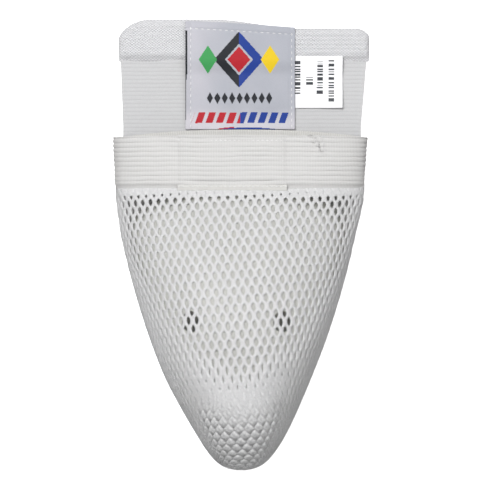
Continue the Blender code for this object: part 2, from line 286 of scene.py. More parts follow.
def cloth(
    name: str, middle: np.ndarray, thickness: float, material: bpy.types.Material,
    front: np.ndarray | float = 0.0, back: np.ndarray | float = 0.0, flat: np.ndarray | None = None,
) -> bpy.types.Object:
    """Makes a closed cloth from a grid of points on its middle surface.

    Args:
        name: the object's name.
        middle: the grid, rows across the cloth and columns along it.
        thickness: the cloth's thickness.
        material: its material.
        front: how far each point of its front stands proud of that.
        back: the same for its back.
        flat: each point's place on the flat cut, if the grid doesn't give it.

    Returns:
        The cloth, with its place on the flat cut stored at each point.
    """
    size = rows, columns = middle.shape[:2]
    normal = grid_normals(middle)
    upper = middle + normal * (thickness / 2 + np.broadcast_to(front, size))[..., None]
    lower = middle - normal * (thickness / 2 + np.broadcast_to(back, size))[..., None]
    along = np.mean([run_length(row) for row in middle[:: max(1, rows // 8)]], axis=0)
    across = run_length(middle[:, columns // 2])
    flat = np.stack(np.meshgrid(along, across), axis=2) if flat is None else flat
    return closed_sheet(name, upper, lower, flat, material)


def closed_sheet(
    name: str, upper: np.ndarray, lower: np.ndarray, flat: np.ndarray, material: bpy.types.Material
) -> bpy.types.Object:
    """Joins the grids of a cloth's front and back into one closed piece.

    Args:
        name: the object's name.
        upper: the front's points.
        lower: the back's points, in the same order.
        flat: each point's place on the flat cut.
        material: the cloth's material.

    Returns:
        The piece.
    """
    count = upper.shape[0] * upper.shape[1]
    top = np.arange(count).reshape(upper.shape[:2])
    quads = grid_faces(top)
    edge = np.concatenate((top[0], top[1:, -1], top[-1, -2::-1], top[-2:0:-1, 0]))
    after = np.roll(edge, -1)
    rim = np.stack((edge, edge + count, after + count, after), axis=1)
    faces = np.vstack((quads, quads[:, ::-1] + count, rim))
    points = np.vstack((upper.reshape(-1, 3), lower.reshape(-1, 3)))
    return object_of(name, points, faces, np.tile(flat.reshape(-1, 2), (2, 1)), material)


def ribs(across: np.ndarray, pitch: float, depth: float, sharpness: float = 0.5) -> np.ndarray:
    """Heights of rounded ribs with narrow grooves between them."""
    return depth * np.abs(np.sin(math.pi * across / pitch)) ** sharpness


def ride(piece: bpy.types.Object, body: Body, slot: str, *nodes: str) -> bpy.types.Object:
    """Puts a piece on its body, and lets it stand for frame nodes.

    Args:
        piece: the finished piece.
        body: the body that it moves with.
        slot: the record's material slot; not used.
        *nodes: the frame nodes that it replaces.

    Returns:
        The piece.
    """
    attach(piece, body.value)
    if nodes:
        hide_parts(*nodes)
    log.info("%s: %d faces, on %s", piece.name, len(piece.data.polygons), body.value)
    return piece


def emptied(piece: bpy.types.Object) -> None:
    """Gives a piece of the pouch's front its own copy of its mesh data."""
    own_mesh(piece)


def evaluated(made: bpy.types.Object, name: str) -> bpy.types.Object:
    """Turns an object with live modifiers into a plain one.

    Args:
        made: the object with its modifiers, which is removed.
        name: the plain object's name.

    Returns:
        The plain object.
    """
    depsgraph = bpy.context.evaluated_depsgraph_get()
    data = bpy.data.meshes.new_from_object(
        made.evaluated_get(depsgraph), preserve_all_data_layers=True, depsgraph=depsgraph
    )
    bpy.data.objects.remove(made, do_unlink=True)
    data.name = name
    return placed(name, data)


def run_tree(
    made: bpy.types.Object, tree: bpy.types.NodeTree, values: dict[str, object], name: str
) -> bpy.types.Object:
    """Runs a geometry node tree on an object and keeps the plain result.

    Args:
        made: the object that the tree starts from, which is removed.
        tree: the tree.
        values: a value for each named input.
        name: the result's name.

    Returns:
        The resulting plain object.
    """
    modifier = made.modifiers.new(tree.name, "NODES")
    modifier.node_group = tree
    items = tree.interface.items_tree
    sockets = {item.name: item.identifier for item in items if item.item_type == "SOCKET"}
    for label, value in values.items():
        modifier[sockets[label]] = value
    return evaluated(made, name)


def new_tree(name: str, inputs: dict[str, str]) -> tuple[bpy.types.NodeTree, bpy.types.Node]:
    """Starts a geometry node tree with named inputs.

    Args:
        name: the tree's name.
        inputs: each input's name and socket type, after the geometry.

    Returns:
        The tree and its group input node.
    """
    tree = bpy.data.node_groups.new(name, "GeometryNodeTree")
    tree.interface.new_socket("Geometry", in_out="INPUT", socket_type="NodeSocketGeometry")
    for label, kind in inputs.items():
        tree.interface.new_socket(label, in_out="INPUT", socket_type=kind)
    tree.interface.new_socket("Geometry", in_out="OUTPUT", socket_type="NodeSocketGeometry")
    return tree, add(tree, "NodeGroupInput")


# ---------------------------------------------------------------------------------------- finishes


def new_material(name: str) -> tuple[bpy.types.NodeTree, bpy.types.Node]:
    """Starts a material, and gives its tree and its shader."""
    made = bpy.data.materials.new(name)
    made.use_nodes = True
    return made.node_tree, made.node_tree.nodes["Principled BSDF"]


def let_through(tree: bpy.types.NodeTree, colour: bpy.types.NodeSocket | tuple, share: float) -> None:
    """Lets part of the light through a thin surface.

    Args:
        tree: the material's tree.
        colour: the colour of what comes through.
        share: how much of the light passes.
    """
    shader, out = tree.nodes["Principled BSDF"], tree.nodes["Material Output"]
    through = add(tree, "ShaderNodeBsdfTranslucent", {"Color": colour})
    mix = add(tree, "ShaderNodeMixShader", {0: share, 1: shader, 2: through})
    tree.links.new(mix.outputs["Shader"], out.inputs["Surface"])


@dataclass(frozen=True)
class ThreadCloth:
    """A cloth of polyester or elastic thread: its weave shows as fine relief and painted shade."""

    name: str
    light: str
    # shade: the colour of the painted shade in the weave's hollows and in the grooves between ribs
    shade: str
    weave: Weave
    warp_mm: float
    weft_mm: float
    relief_mm: float = 0.12
    contrast: float = 0.5
    fuzz_mm: float = 0.9
    roughness: float = 0.85
    sheen: float = 0.15
    through: float = 0.15
    rib_mm: float = 0.0
    # rib_shade: how far painted shade darkens the grooves between ribs
    rib_shade: float = 0.5
    colours: bool = False

    def material(self) -> bpy.types.Material:
        """Builds the material once, and gives it."""
        if self.name in bpy.data.materials:
            return bpy.data.materials[self.name]
        tree, shader = new_material(self.name)

        place = add(tree, "ShaderNodeAttribute", attribute_name=WEAVE)
        parts = add(tree, "ShaderNodeSeparateXYZ", {"Vector": place.outputs["Vector"]})
        height = self._threads(tree, parts)
        groove = self._grooves(tree, parts)
        ribbed = add(tree, MATH, {0: groove, 1: -2.2, 2: height}, operation="MULTIPLY_ADD")
        bump = add(
            tree, "ShaderNodeBump", {"Height": ribbed, "Distance": self.relief_mm * MM, "Strength": 1.0}
        )
        body = add(tree, "ShaderNodeTexCoord")
        cloudy = {"Vector": body.outputs["Object"], "Scale": 60.0, "Detail": 3.0}
        mottle = add(tree, "ShaderNodeTexNoise", cloudy)
        uneven = add(tree, MATH, {0: mottle, 1: 0.35, 2: height}, operation="MULTIPLY_ADD")
        share = add(
            tree, "ShaderNodeMapRange",
            {"Value": uneven, "From Min": -0.6, "From Max": 1.9, "To Min": self.contrast, "To Max": 0.0},
        )
        # painted shade: the shade colour is mixed in where the threads lie low and in the grooves between
        # ribs; the mottle adds random tone
        shaded = add(
            tree, MATH, {0: groove, 1: self.rib_shade, 2: share}, operation="MULTIPLY_ADD", use_clamp=True
        )
        tint: bpy.types.NodeSocket | tuple = linear(self.light)
        if self.colours:
            tint = add(tree, "ShaderNodeAttribute", attribute_name=THREADS).outputs["Color"]
        colour = self._mixed(tree, shaded, tint)
        tree.links.new(colour, shader.inputs["Base Color"])
        tree.links.new(bump.outputs["Normal"], shader.inputs["Normal"])
        shader.inputs["Roughness"].default_value = self.roughness
        shader.inputs["Sheen Weight"].default_value = self.sheen
        shader.inputs["Specular IOR Level"].default_value = 0.25
        let_through(tree, colour, self.through)
        return bpy.data.materials[self.name]

    def _threads(self, tree: bpy.types.NodeTree, parts: bpy.types.Node) -> bpy.types.Node:
        """Builds the height of the crossing threads with their fuzz, and gives its last node."""
        slant, crossing = self.weave.value
        turn = 2 * math.pi
        weft = add(tree, MATH, {0: parts.outputs["Y"], 1: turn / self.weft_mm}, operation="MULTIPLY")
        lean = add(tree, MATH, {0: weft, 1: slant}, operation="MULTIPLY")
        warp = add(
            tree, MATH, {0: parts.outputs["X"], 1: turn / self.warp_mm, 2: lean}, operation="MULTIPLY_ADD"
        )
        wave = add(tree, MATH, {0: warp}, operation="SINE")
        if crossing:
            other = add(tree, MATH, {0: weft}, operation="SINE")
            wave = add(tree, MATH, {0: wave, 1: other}, operation="MULTIPLY")
        body = add(tree, "ShaderNodeTexCoord")
        fuzz = add(
            tree,
            "ShaderNodeTexNoise",
            {
                "Vector": body.outputs["Object"], "Scale": 1 / (self.fuzz_mm * MM),
                "Detail": 2.0, "Roughness": 0.6,
            },
        )
        return add(tree, MATH, {0: fuzz, 1: 1.6, 2: wave}, operation="MULTIPLY_ADD")

    def _grooves(self, tree: bpy.types.NodeTree, parts: bpy.types.Node) -> bpy.types.Node:
        """Builds a mask that is 1 in the grooves between ribs, and gives its last node."""
        if not self.rib_mm:
            return add(tree, "ShaderNodeValue")
        half = self.rib_mm / 2
        away = add(tree, MATH, {0: parts.outputs["Y"], 1: half}, operation="PINGPONG")
        return add(
            tree, "ShaderNodeMapRange",
            {"Value": away, "From Min": 0.0, "From Max": half * 0.75, "To Min": 1.0, "To Max": 0.0},
            interpolation_type="SMOOTHSTEP",
        )

    def _mixed(
        self, tree: bpy.types.NodeTree, share: bpy.types.Node, tint: bpy.types.NodeSocket | tuple
    ) -> bpy.types.NodeSocket:
        """Mixes the threads' light colour with their painted shade colour, and gives the colour socket."""
        mix = add(
            tree, "ShaderNodeMix", {"Factor": share}, data_type="RGBA",
            blend_type="MULTIPLY" if self.colours else "MIX",
        )
        first, second = (socket for socket in mix.inputs if socket.type == "RGBA")
        second.default_value = linear(self.shade)
        if isinstance(tint, bpy.types.NodeSocket):
            tree.links.new(tint, first)
        else:
            first.default_value = tint
        return next(socket for socket in mix.outputs if socket.type == "RGBA")


@dataclass(frozen=True)
class Moulded:
    """Injection-moulded plastic or rubber: even colour, a soft gloss and a faint orange-peel skin."""

    name: str
    colour: str
    roughness: float
    skin_mm: float = 1.4
    relief_mm: float = 0.01
    through: float = 0.0

    def material(self) -> bpy.types.Material:
        """Builds the material once, and gives it."""
        if self.name in bpy.data.materials:
            return bpy.data.materials[self.name]
        tree, shader = new_material(self.name)
        body = add(tree, "ShaderNodeTexCoord")
        skin = add(
            tree, "ShaderNodeTexNoise",
            {"Vector": body.outputs["Object"], "Scale": 1 / (self.skin_mm * MM), "Detail": 2.0},
        )
        bump = add(
            tree, "ShaderNodeBump", {"Height": skin, "Distance": self.relief_mm * MM, "Strength": 1.0}
        )
        rough = add(
            tree, "ShaderNodeMapRange",
            {"Value": skin, "To Min": self.roughness - 0.06, "To Max": self.roughness + 0.08},
        )
        tree.links.new(bump.outputs["Normal"], shader.inputs["Normal"])
        tree.links.new(rough.outputs["Result"], shader.inputs["Roughness"])
        shader.inputs["Base Color"].default_value = linear(self.colour)
        if self.through:
            let_through(tree, linear(self.colour), self.through)
        return bpy.data.materials[self.name]


# Knitted polyester net: round, slightly glossy strands with small loops. Some light comes through.
NET_KNIT = ThreadCloth(
    "polyester_net_knit", "#f6f6f6", "#a0a0a4", Weave.PLAIN, 0.9, 0.8, 0.14, 0.7, 0.6, 0.7, 0.2, through=0.25
)
# Woven ribbed elastic: fine picks cross the ribs. They are 0.5 mm apart and drawn at 0.8 mm.
BAND_ELASTIC = ThreadCloth(
    "woven_ribbed_elastic", "#cccbca", "#9e9d9d", Weave.RIB, 0.8, 0.6, 0.03, 0.26, 0.8, 0.85, 0.1
)
# The belt's elastic has flatter ribs and a fine grain across them. The grooves between its ribs are drawn as
# bump and painted shade.
BELT_ELASTIC = ThreadCloth(
    "woven_belt_elastic", "#c7c7c8", "#88888b", Weave.PLAIN, 0.9, 0.7, 0.035, 0.3, 0.8, 0.9, 0.1,
    rib_mm=2.0, rib_shade=0.11,
)
# The belt's outer face is brushed and a little creamier.
ARCH_ELASTIC = ThreadCloth(
    "brushed_belt_elastic", "#cbcac7", "#9d9c98", Weave.RIB, 1.0, 0.9, 0.06, 0.35, 0.7, 0.95, 0.15
)
# Looped pile: a deep matt cloth with no gloss at all.
PILE = ThreadCloth("looped_pile", "#e6e6e8", "#a2a2a7", Weave.PLAIN, 1.7, 1.3, 0.24, 0.65, 0.5, 1.0, 0.3)
# Flat woven tape, whiter than the elastic.
TAPE = ThreadCloth("woven_hem_tape", "#d9d8d5", "#aeadaa", Weave.PLAIN, 0.9, 0.8, 0.09, 0.4, 0.6, 0.85, 0.1)
# Plain jersey knit.
LINING = ThreadCloth(
    "jersey_lining", "#dcdcda", "#b4b4b2", Weave.PLAIN, 1.0, 1.2, 0.06, 0.45, 0.8, 0.95, 0.1
)
# Damask label satin: slanting floats give it a soft sheen.
SATIN = ThreadCloth(
    "damask_label_satin", "#ffffff", "#a9b0bb", Weave.TWILL, 0.8, 0.8, 0.03, 0.25, 0.9, 0.5, 0.1, colours=True
)
# Coated tag paper: smooth, bright and faintly glossy.
TAG = ThreadCloth(
    "coated_tag", "#ffffff", "#c4c4c8", Weave.PLAIN, 0.8, 0.8, 0.004, 0.1, 1.2, 0.45, 0.0, colours=True
)
# Spun sewing thread.
THREAD = ThreadCloth("spun_thread", "#e4e4e4", "#b9b9bb", Weave.TWILL, 0.5, 0.5, 0.03, 0.3, 0.4, 0.7, 0.1)
# Polyethylene: pale, faintly warm, and thin enough to glow where light falls on it.
CUP_PLASTIC = Moulded("moulded_polyethylene", "#efefeb", 0.42, through=0.62)
# Soft thermoplastic rubber.
CUSHION_RUBBER = Moulded("soft_rubber", "#cfcfcb", 0.6, 0.9, 0.02)


# ------------------------------------------------------------------------------------------ stitches


@dataclass
class Seams:
    """Rows of lock stitches, each a short round thread that dips into the cloth at both ends."""

    name: str
    body: Body
    slot: str
    pitch: float = 3.0
    length: float = 2.1
    thread: float = 0.5
    rows: list[np.ndarray] = field(default_factory=list)

    def sew(self, corners: Sequence[Sequence[float]]) -> None:
        """Adds a row of stitches along a route of points."""
        self.rows.append(even_path(corners, self.pitch / 4, rounds=1))

    def tree(self) -> bpy.types.NodeTree:
        """Builds the tree that lays stitches along the rows, and gives it."""
        if "lock_stitches" in bpy.data.node_groups:
            return bpy.data.node_groups["lock_stitches"]
        tree, given = new_tree(
            "lock_stitches",
            {
                "Pitch": "NodeSocketFloat", "Length": "NodeSocketFloat", "Thread": "NodeSocketFloat",
                "Material": "NodeSocketMaterial",
            },
        )
        curve = add(tree, "GeometryNodeMeshToCurve", {"Mesh": given})
        spots = add(
            tree, "GeometryNodeCurveToPoints", {"Curve": curve, "Length": given.outputs["Pitch"]},
            mode="LENGTH",
        )
        lie = add(tree, "FunctionNodeAlignRotationToVector", {"Vector": spots.outputs["Tangent"]}, axis="X")
        knot = add(tree, "GeometryNodeMeshUVSphere", {"Segments": 6, "Rings": 5, "Radius": 0.5})
        size = add(
            tree, "ShaderNodeCombineXYZ",
            {"X": given.outputs["Length"], "Y": given.outputs["Thread"], "Z": given.outputs["Thread"]},
        )
        laid = add(
            tree, "GeometryNodeInstanceOnPoints",
            {"Points": spots, "Instance": knot, "Rotation": lie, "Scale": size},
        )
        real = add(tree, "GeometryNodeRealizeInstances", {"Geometry": laid})
        smooth = add(tree, "GeometryNodeSetShadeSmooth", {"Geometry": real})
        dressed = add(
            tree, "GeometryNodeSetMaterial", {"Geometry": smooth, "Material": given.outputs["Material"]}
        )
        add(tree, "NodeGroupOutput", {"Geometry": dressed})
        return tree

    def build(self) -> bpy.types.Object:
        """Makes every row of stitches as one piece, and gives it."""
        points = np.vstack(self.rows)
        edges, start = [], 0
        for row in self.rows:
            edges += [(start + i, start + i + 1) for i in range(len(row) - 1)]
            start += len(row)
        data = bpy.data.meshes.new(self.name)
        data.from_pydata((points * MM).tolist(), edges, [])
        route = placed(self.name, data)
        values = {
            "Pitch": self.pitch * MM, "Length": self.length * MM, "Thread": self.thread * MM,
            "Material": THREAD.material(),
        }
        return ride(run_tree(route, self.tree(), values, self.name), self.body, self.slot)


# --------------------------------------------------------------------------------- the pouch's dome


@dataclass
class Dome:
    """The bulge of the pouch: a crest line, with flattened half ellipses across it."""

    low: np.ndarray
    high: np.ndarray
    crest_y: float = -50.0
    crest_at_band: float = 24.0
    crest_at_tip: float = 40.0
    fan_y: float = -74.0
    squareness: float = 2.3
    bluntness: float = 3.4
    blunt_length: float = 15.0
    rounding: float = 0.9

    @classmethod
    def of_frame(cls) -> Dome:
        """Takes the dome's place and size from the frame's mesh front."""
        low, high = box_mm("pouch_mesh")
        return cls(low, high)

    def centre_at(self, y: np.ndarray) -> np.ndarray:
        """The dome's middle line at y: it leans over at the tip and a little at the band."""
        middle = float(self.low[0] + self.high[0]) / 2
        return middle + 1.6 * soft_step(-np.asarray(y), 62.0, 100.0) + 0.9 * soft_step(y, 2.0, 27.0)

    def half_width(self, y: np.ndarray, inset: float = 0.0, tip_inset: float = 0.0) -> np.ndarray:
        """Half of the outline's width at y, for an outline set in from the edge."""
        tip_y = self.low[1] + tip_inset
        widest = (self.high[0] - self.low[0]) / 2 - inset
        share = np.clip((self.high[1] - y) / (self.high[1] - tip_y), 0.0, 1.0)
        above = np.maximum(y - tip_y, 0.0)
        blunt = np.exp(-((above / self.blunt_length) ** 1.5)) * (1.0 - np.exp(-above / self.rounding))
        return widest * (1.0 - share**1.25) ** 0.58 + self.bluntness * blunt

    def crest(self, y: np.ndarray) -> np.ndarray:
        """Height of the crest line at y, before it drops at the tip."""
        upper = np.clip((y - self.crest_y) / (self.high[1] - self.crest_y), 0.0, 1.2)
        lower = np.clip((self.crest_y - y) / (self.crest_y - self.low[1]), 0.0, 1.0)
        top = float(self.high[2])
        rise = top - (top - self.crest_at_band) * upper**1.7
        return np.where(y > self.crest_y, rise, top - (top - self.crest_at_tip) * lower**2)

    def middle_line(self, y: np.ndarray) -> np.ndarray:
        """Height of the dome on its middle line, with its steep round tip."""
        reach = np.clip((self.fan_y - y) / (self.fan_y - self.low[1]), 0.0, 1.0)
        base = float(self.low[2])
        return base + (self.crest(y) - base) * (1.0 - reach**self.squareness) ** 0.5

    def surface(self, x: np.ndarray, y: np.ndarray) -> np.ndarray:
        """Height of the dome at x and y."""
        reach = np.clip(np.abs(x - self.centre_at(y)) / self.half_width(y), 0.0, 1.0)
        base = float(self.low[2])
        return base + (self.middle_line(y) - base) * (1.0 - reach**self.squareness) ** 0.5


@dataclass
class NetFront:
    """The knitted net over the cup, its holes staggered like bricks."""

    dome: Dome
    pitch: float = 4.4
    row: float = 4.33
    hole_width: float = 1.95
    hole_height: float = 4.15
    upright: float = 1.6
    thickness: float = 0.56
    under_band: float = 3.4
    turn_under: float = 4.0
    slant: float = math.radians(4.5)
    gather: float = 34.0
    rows_above: int = 3
    weld: float = 0.02
    moves: tuple[str, ...] = ("when_narrowed", "when_padded", "when_closed")

    def base(self) -> tuple[bpy.types.Object, float]:
        """Makes the smooth surface that the net is laid on, which ends turned under at its rim.

        Returns:
            The surface, and its area in square millimetres.
        """
        dome = self.dome
        top_y = dome.high[1] + self.under_band
        y = top_y + (dome.low[1] + 0.2 - top_y) * np.sin(np.linspace(0.0, math.pi / 2, 130))
        tucked = 1.0 * soft_step(y, dome.high[1] - 4.0, dome.high[1] + 1.0)
        height = dome.middle_line(y) - self.thickness * 0.4 - tucked
        base_z = float(dome.low[2]) + 0.2
        down = run_length(np.stack((y, height), axis=1))
        side = np.sin(np.linspace(-math.pi / 2, math.pi / 2, 81))
        half = np.maximum(dome.half_width(y, 0.3, 0.1), 0.05)
        under = np.array([[0.25, 1.0], [1.0, 1.55], [self.turn_under, 1.7]])
        lines = []
        at_band = soft_step(y, dome.high[1] - 12.0, dome.high[1])  # here it takes the band's own arch
        for yy, zz, w, share in zip(y, height, half, at_band):
            arch = (1.0 - np.abs(side) ** (dome.squareness + 0.7 * share)) ** (0.5 - 0.05 * share)
            z = base_z + max(zz - base_z, 0.0) * arch
            inward = np.minimum(under[:, 0], w)
            middle = dome.centre_at(yy)
            left = np.stack((middle - w + inward, base_z - under[:, 1]), axis=1)[::-1]
            right = np.stack((middle + w - inward, base_z - under[:, 1]), axis=1)
            line = np.vstack((left, np.stack((middle + w * side, z), axis=1), right))
            lines.append(np.column_stack((line[:, 0], np.full(len(line), yy), line[:, 1])))
        grid = np.array(lines)

        centre = grid.shape[1] // 2
        runs = np.array([run_length(line) for line in grid])
        runs -= runs[:, centre : centre + 1]
        reach = runs[:, -1:]
        widest = float(reach.max())
        taken_up = self.gather * (1.0 - np.exp((reach - widest) / self.gather)) * soft_step(reach, 8.0, 50.0)
        eased = 1.0 - 0.15 * soft_step(-grid[:, :1, 1], 70.0, 95.0)
        across = runs * eased + taken_up * np.sign(runs) * np.abs(runs / reach) ** 3
        along = np.broadcast_to(down[:, None], across.shape)
        cos, sin = math.cos(self.slant), math.sin(self.slant)
        flat = np.stack((across * cos - along * sin, across * sin + along * cos), axis=2)

        size = grid.shape[:2]
        quads = grid_faces(np.arange(size[0] * size[1]).reshape(size))
        made = object_of("net_base", grid.reshape(-1, 3), quads, flat.reshape(-1, 2))
        if made.data.polygons[len(made.data.polygons) // 2].normal.z < 0:
            made.data.flip_normals()
        self.store(made.data, "shut_at", self.shut_at(grid))
        area = float(np.sum((reach[1:] + reach[:-1])[:, 0] * np.diff(down)))
        self.flat_size = (2 * widest, float(down[-1]))
        return made, area

    def shut_at(self, grid: np.ndarray) -> np.ndarray:
        """How far the holes are shut, and then swollen into pads, at each point of the surface."""
        x, y = grid[..., 0].ravel(), grid[..., 1].ravel()
        off = np.abs(x - self.dome.centre_at(y))
        edge = off / np.maximum(self.dome.half_width(y), 1.0)
        uneven = 2.0 * waves(x, y, 23.0, 1.0) + 0.8 * waves(x, y, 7.0, 2.0) - y
        seam = soft_step(y, 22.6, 25.2)
        tight = 0.95 - 0.22 * soft_step(-y, 5.0, 50.0)  # the side columns are drawn into closed lines
        side = soft_step(edge - tight, -0.1, 0.05)
        narrowed = soft_step(uneven + 0.57 * off, 60.0, 69.0)
        closed = soft_step(uneven + 0.4 * off, 66.0, 76.0) * (1.0 - 0.85 * side)
        pads = soft_step(uneven + 0.35 * off, 77.0, 92.0)
        return np.column_stack((np.maximum.reduce((narrowed, seam, side)), pads, np.maximum(closed, seam)))

    @staticmethod
    def store(data: bpy.types.Mesh, name: str, vectors: np.ndarray) -> None:
        """Stores one vector at each point of a mesh."""
        layer = data.attributes.new(name, "FLOAT_VECTOR", "POINT")
        layer.data.foreach_set("vector", np.ascontiguousarray(vectors, dtype=float).ravel())

    def tile(self) -> bpy.types.Object:
        """Makes one hole of the net with the halves of the strands round it, and gives it."""
        half, mid = self.pitch / 2, self.upright / 2
        apex = self.row - mid
        quarter = [(half, 0.0), (half, mid), (half / 2, (mid + apex) / 2)]
        ring = [*quarter, (0.0, apex)]
        ring += [(-x, y) for x, y in reversed(quarter)]
        ring += [(-x, -y) for x, y in quarter[1:]]
        ring += [(0.0, -apex)]
        ring += [(x, -y) for x, y in reversed(quarter[1:])]
        outer = np.array(ring)
        angle = np.arctan2(outer[:, 1] / self.hole_height, outer[:, 0] / self.hole_width)
        hole = np.stack(
            (
                self.hole_width / 2 * np.cos(angle) * np.abs(np.cos(angle)) ** 0.25,
                self.hole_height / 2 * np.sin(angle),
            ),
            axis=1,
        )
        pad = np.where(np.abs(outer[:, 0]) > half * 0.9, 0.1, np.where(outer[:, 0] == 0.0, 0.14, 0.0))
        face, between = self.thickness / 2, outer * 0.4 + hole * 0.6
        # Each ring: its places, its height, then how it draws in across and along and how it rises:
        # as the hole narrows to a slit, as the cell swells into a pad, and as the slit closes.
        rings = [
            (outer, face + pad, (0.0, 0.0, 0.26), (0.0, 0.0, -0.22), (0.0, 0.0, -0.33)),
            (between, face + pad * 0.6, (0.0, 0.0, 0.06), (-0.33, -0.24, 0.0), (0.0, 0.0, -0.03)),
            (hole * 1.22, face * 0.8, (0.64, 0.05, 0.0), (0.0, 0.0, 0.03), (0.33, 0.9, 0.08)),
            (hole, 0.02, (0.66, 0.05, -0.05), (0.0, 0.0, 0.05), (0.34, 0.95, 0.28)),
            (hole * 1.04, -face * 0.7, (0.66, 0.05, 0.0), (0.0, 0.0, 0.1), (0.34, 0.95, 0.1)),
            (outer, -face, (0.0, 0.0, 0.0), (0.0, 0.0, -0.3), (0.0, 0.0, 0.0)),
        ]
        count = len(outer)
        levels = [np.broadcast_to(height, count) for _, height, *_ in rings]
        points = np.column_stack((np.vstack([level[0] for level in rings]), np.concatenate(levels)))
        index = np.arange(len(points)).reshape(len(rings), count)
        after = np.roll(index, -1, axis=1)
        faces = np.stack((index[:-1], after[:-1], after[1:], index[1:]), axis=2).reshape(-1, 4)
        data = bpy.data.meshes.new("net_tile")
        data.from_pydata(points.tolist(), [], faces.tolist())
        if data.polygons[0].normal.z < 0:
            data.flip_normals()
        for column, name in enumerate(self.moves, start=2):
            self.store(data, name, np.repeat([level[column] for level in rings], count, axis=0))
        return placed("net_tile", data)

    def tree(self) -> bpy.types.NodeTree:
        """Builds the tree that repeats the tile and lays it on the surface, and gives it."""
        tree, given = new_tree(
            "knitted_net",
            {
                "Tile": "NodeSocketObject", "Pitch": "NodeSocketFloat", "Row": "NodeSocketFloat",
                "Width": "NodeSocketFloat", "Length": "NodeSocketFloat", "Start": "NodeSocketFloat",
                "Columns": "NodeSocketInt", "Rows": "NodeSocketInt", "Material": "NodeSocketMaterial",
            },
        )
        tiles = self._tiles(tree, given)
        place = add(tree, "GeometryNodeInputPosition")
        stored = {"Geometry": tiles, "Name": WEAVE, "Value": place}
        kept = add(tree, "GeometryNodeStoreNamedAttribute", stored, data_type="FLOAT_VECTOR", domain="POINT")
        read = {
            name: add(tree, "GeometryNodeInputNamedAttribute", {"Name": name}, data_type="FLOAT_VECTOR")
            for name in (WEAVE, "cell", "shut_at", *self.moves)
        }
        cut = add(tree, VECTOR_MATH, {0: read[WEAVE], 1: (MM, MM, 0.0)}, operation="MULTIPLY")

        def sampled(value: bpy.types.Node, spot: bpy.types.Node) -> bpy.types.Node:
            """Reads the surface's own value at a spot on the flat cloth, in millimetres."""
            flat = add(tree, VECTOR_MATH, {0: spot, 1: (MM, MM, 0.0)}, operation="MULTIPLY")
            inputs = {"Mesh": given, "Value": value, "UV Map": cut, "Sample UV": flat}
            return add(tree, "GeometryNodeSampleUVSurface", inputs, data_type="FLOAT_VECTOR")

        shut = sampled(read["shut_at"], place)
        amounts = add(tree, "ShaderNodeSeparateXYZ", {"Vector": shut.outputs["Value"]})
        moves: bpy.types.Node | tuple = (0.0, 0.0, 0.0)
        for name, amount in zip(self.moves, "XYZ"):
            parts = {0: read[name], "Scale": amounts.outputs[amount]}
            share = add(tree, VECTOR_MATH, parts, operation="SCALE")
            moves = add(tree, VECTOR_MATH, {0: share, 1: moves}, operation="ADD")
        rise = add(tree, "ShaderNodeSeparateXYZ", {"Vector": moves}).outputs["Z"]
        to_middle = add(tree, VECTOR_MATH, {0: read["cell"], 1: place}, operation="SUBTRACT")
        inward = add(tree, VECTOR_MATH, {0: to_middle, 1: moves}, operation="MULTIPLY")
        spot = add(tree, VECTOR_MATH, {0: place, 1: inward}, operation="ADD")
        level = add(tree, "ShaderNodeSeparateXYZ", {"Vector": place}).outputs["Z"]
        height = add(tree, MATH, {0: level, 1: rise}, operation="ADD")
        onto = sampled(add(tree, "GeometryNodeInputPosition"), spot)
        out = sampled(add(tree, "GeometryNodeInputNormal"), spot)
        off = add(tree, "FunctionNodeBooleanMath", {0: onto.outputs["Is Valid"]}, operation="NOT")
        off_edge = {"Geometry": kept, "Selection": off}
        trimmed = add(tree, "GeometryNodeDeleteGeometry", off_edge, domain="POINT")
        metres = add(tree, MATH, {0: height, 1: MM}, operation="MULTIPLY")
        raised = add(tree, VECTOR_MATH, {0: out.outputs["Value"], "Scale": metres}, operation="SCALE")
        laid_at = add(tree, VECTOR_MATH, {0: onto.outputs["Value"], 1: raised}, operation="ADD")
        laid = add(tree, "GeometryNodeSetPosition", {"Geometry": trimmed, "Position": laid_at})
        smooth = add(tree, "GeometryNodeSetShadeSmooth", {"Geometry": laid})
        finish = {"Geometry": smooth, "Material": given.outputs["Material"]}
        dressed = add(tree, "GeometryNodeSetMaterial", finish)
        add(tree, "NodeGroupOutput", {"Geometry": dressed})
        return tree

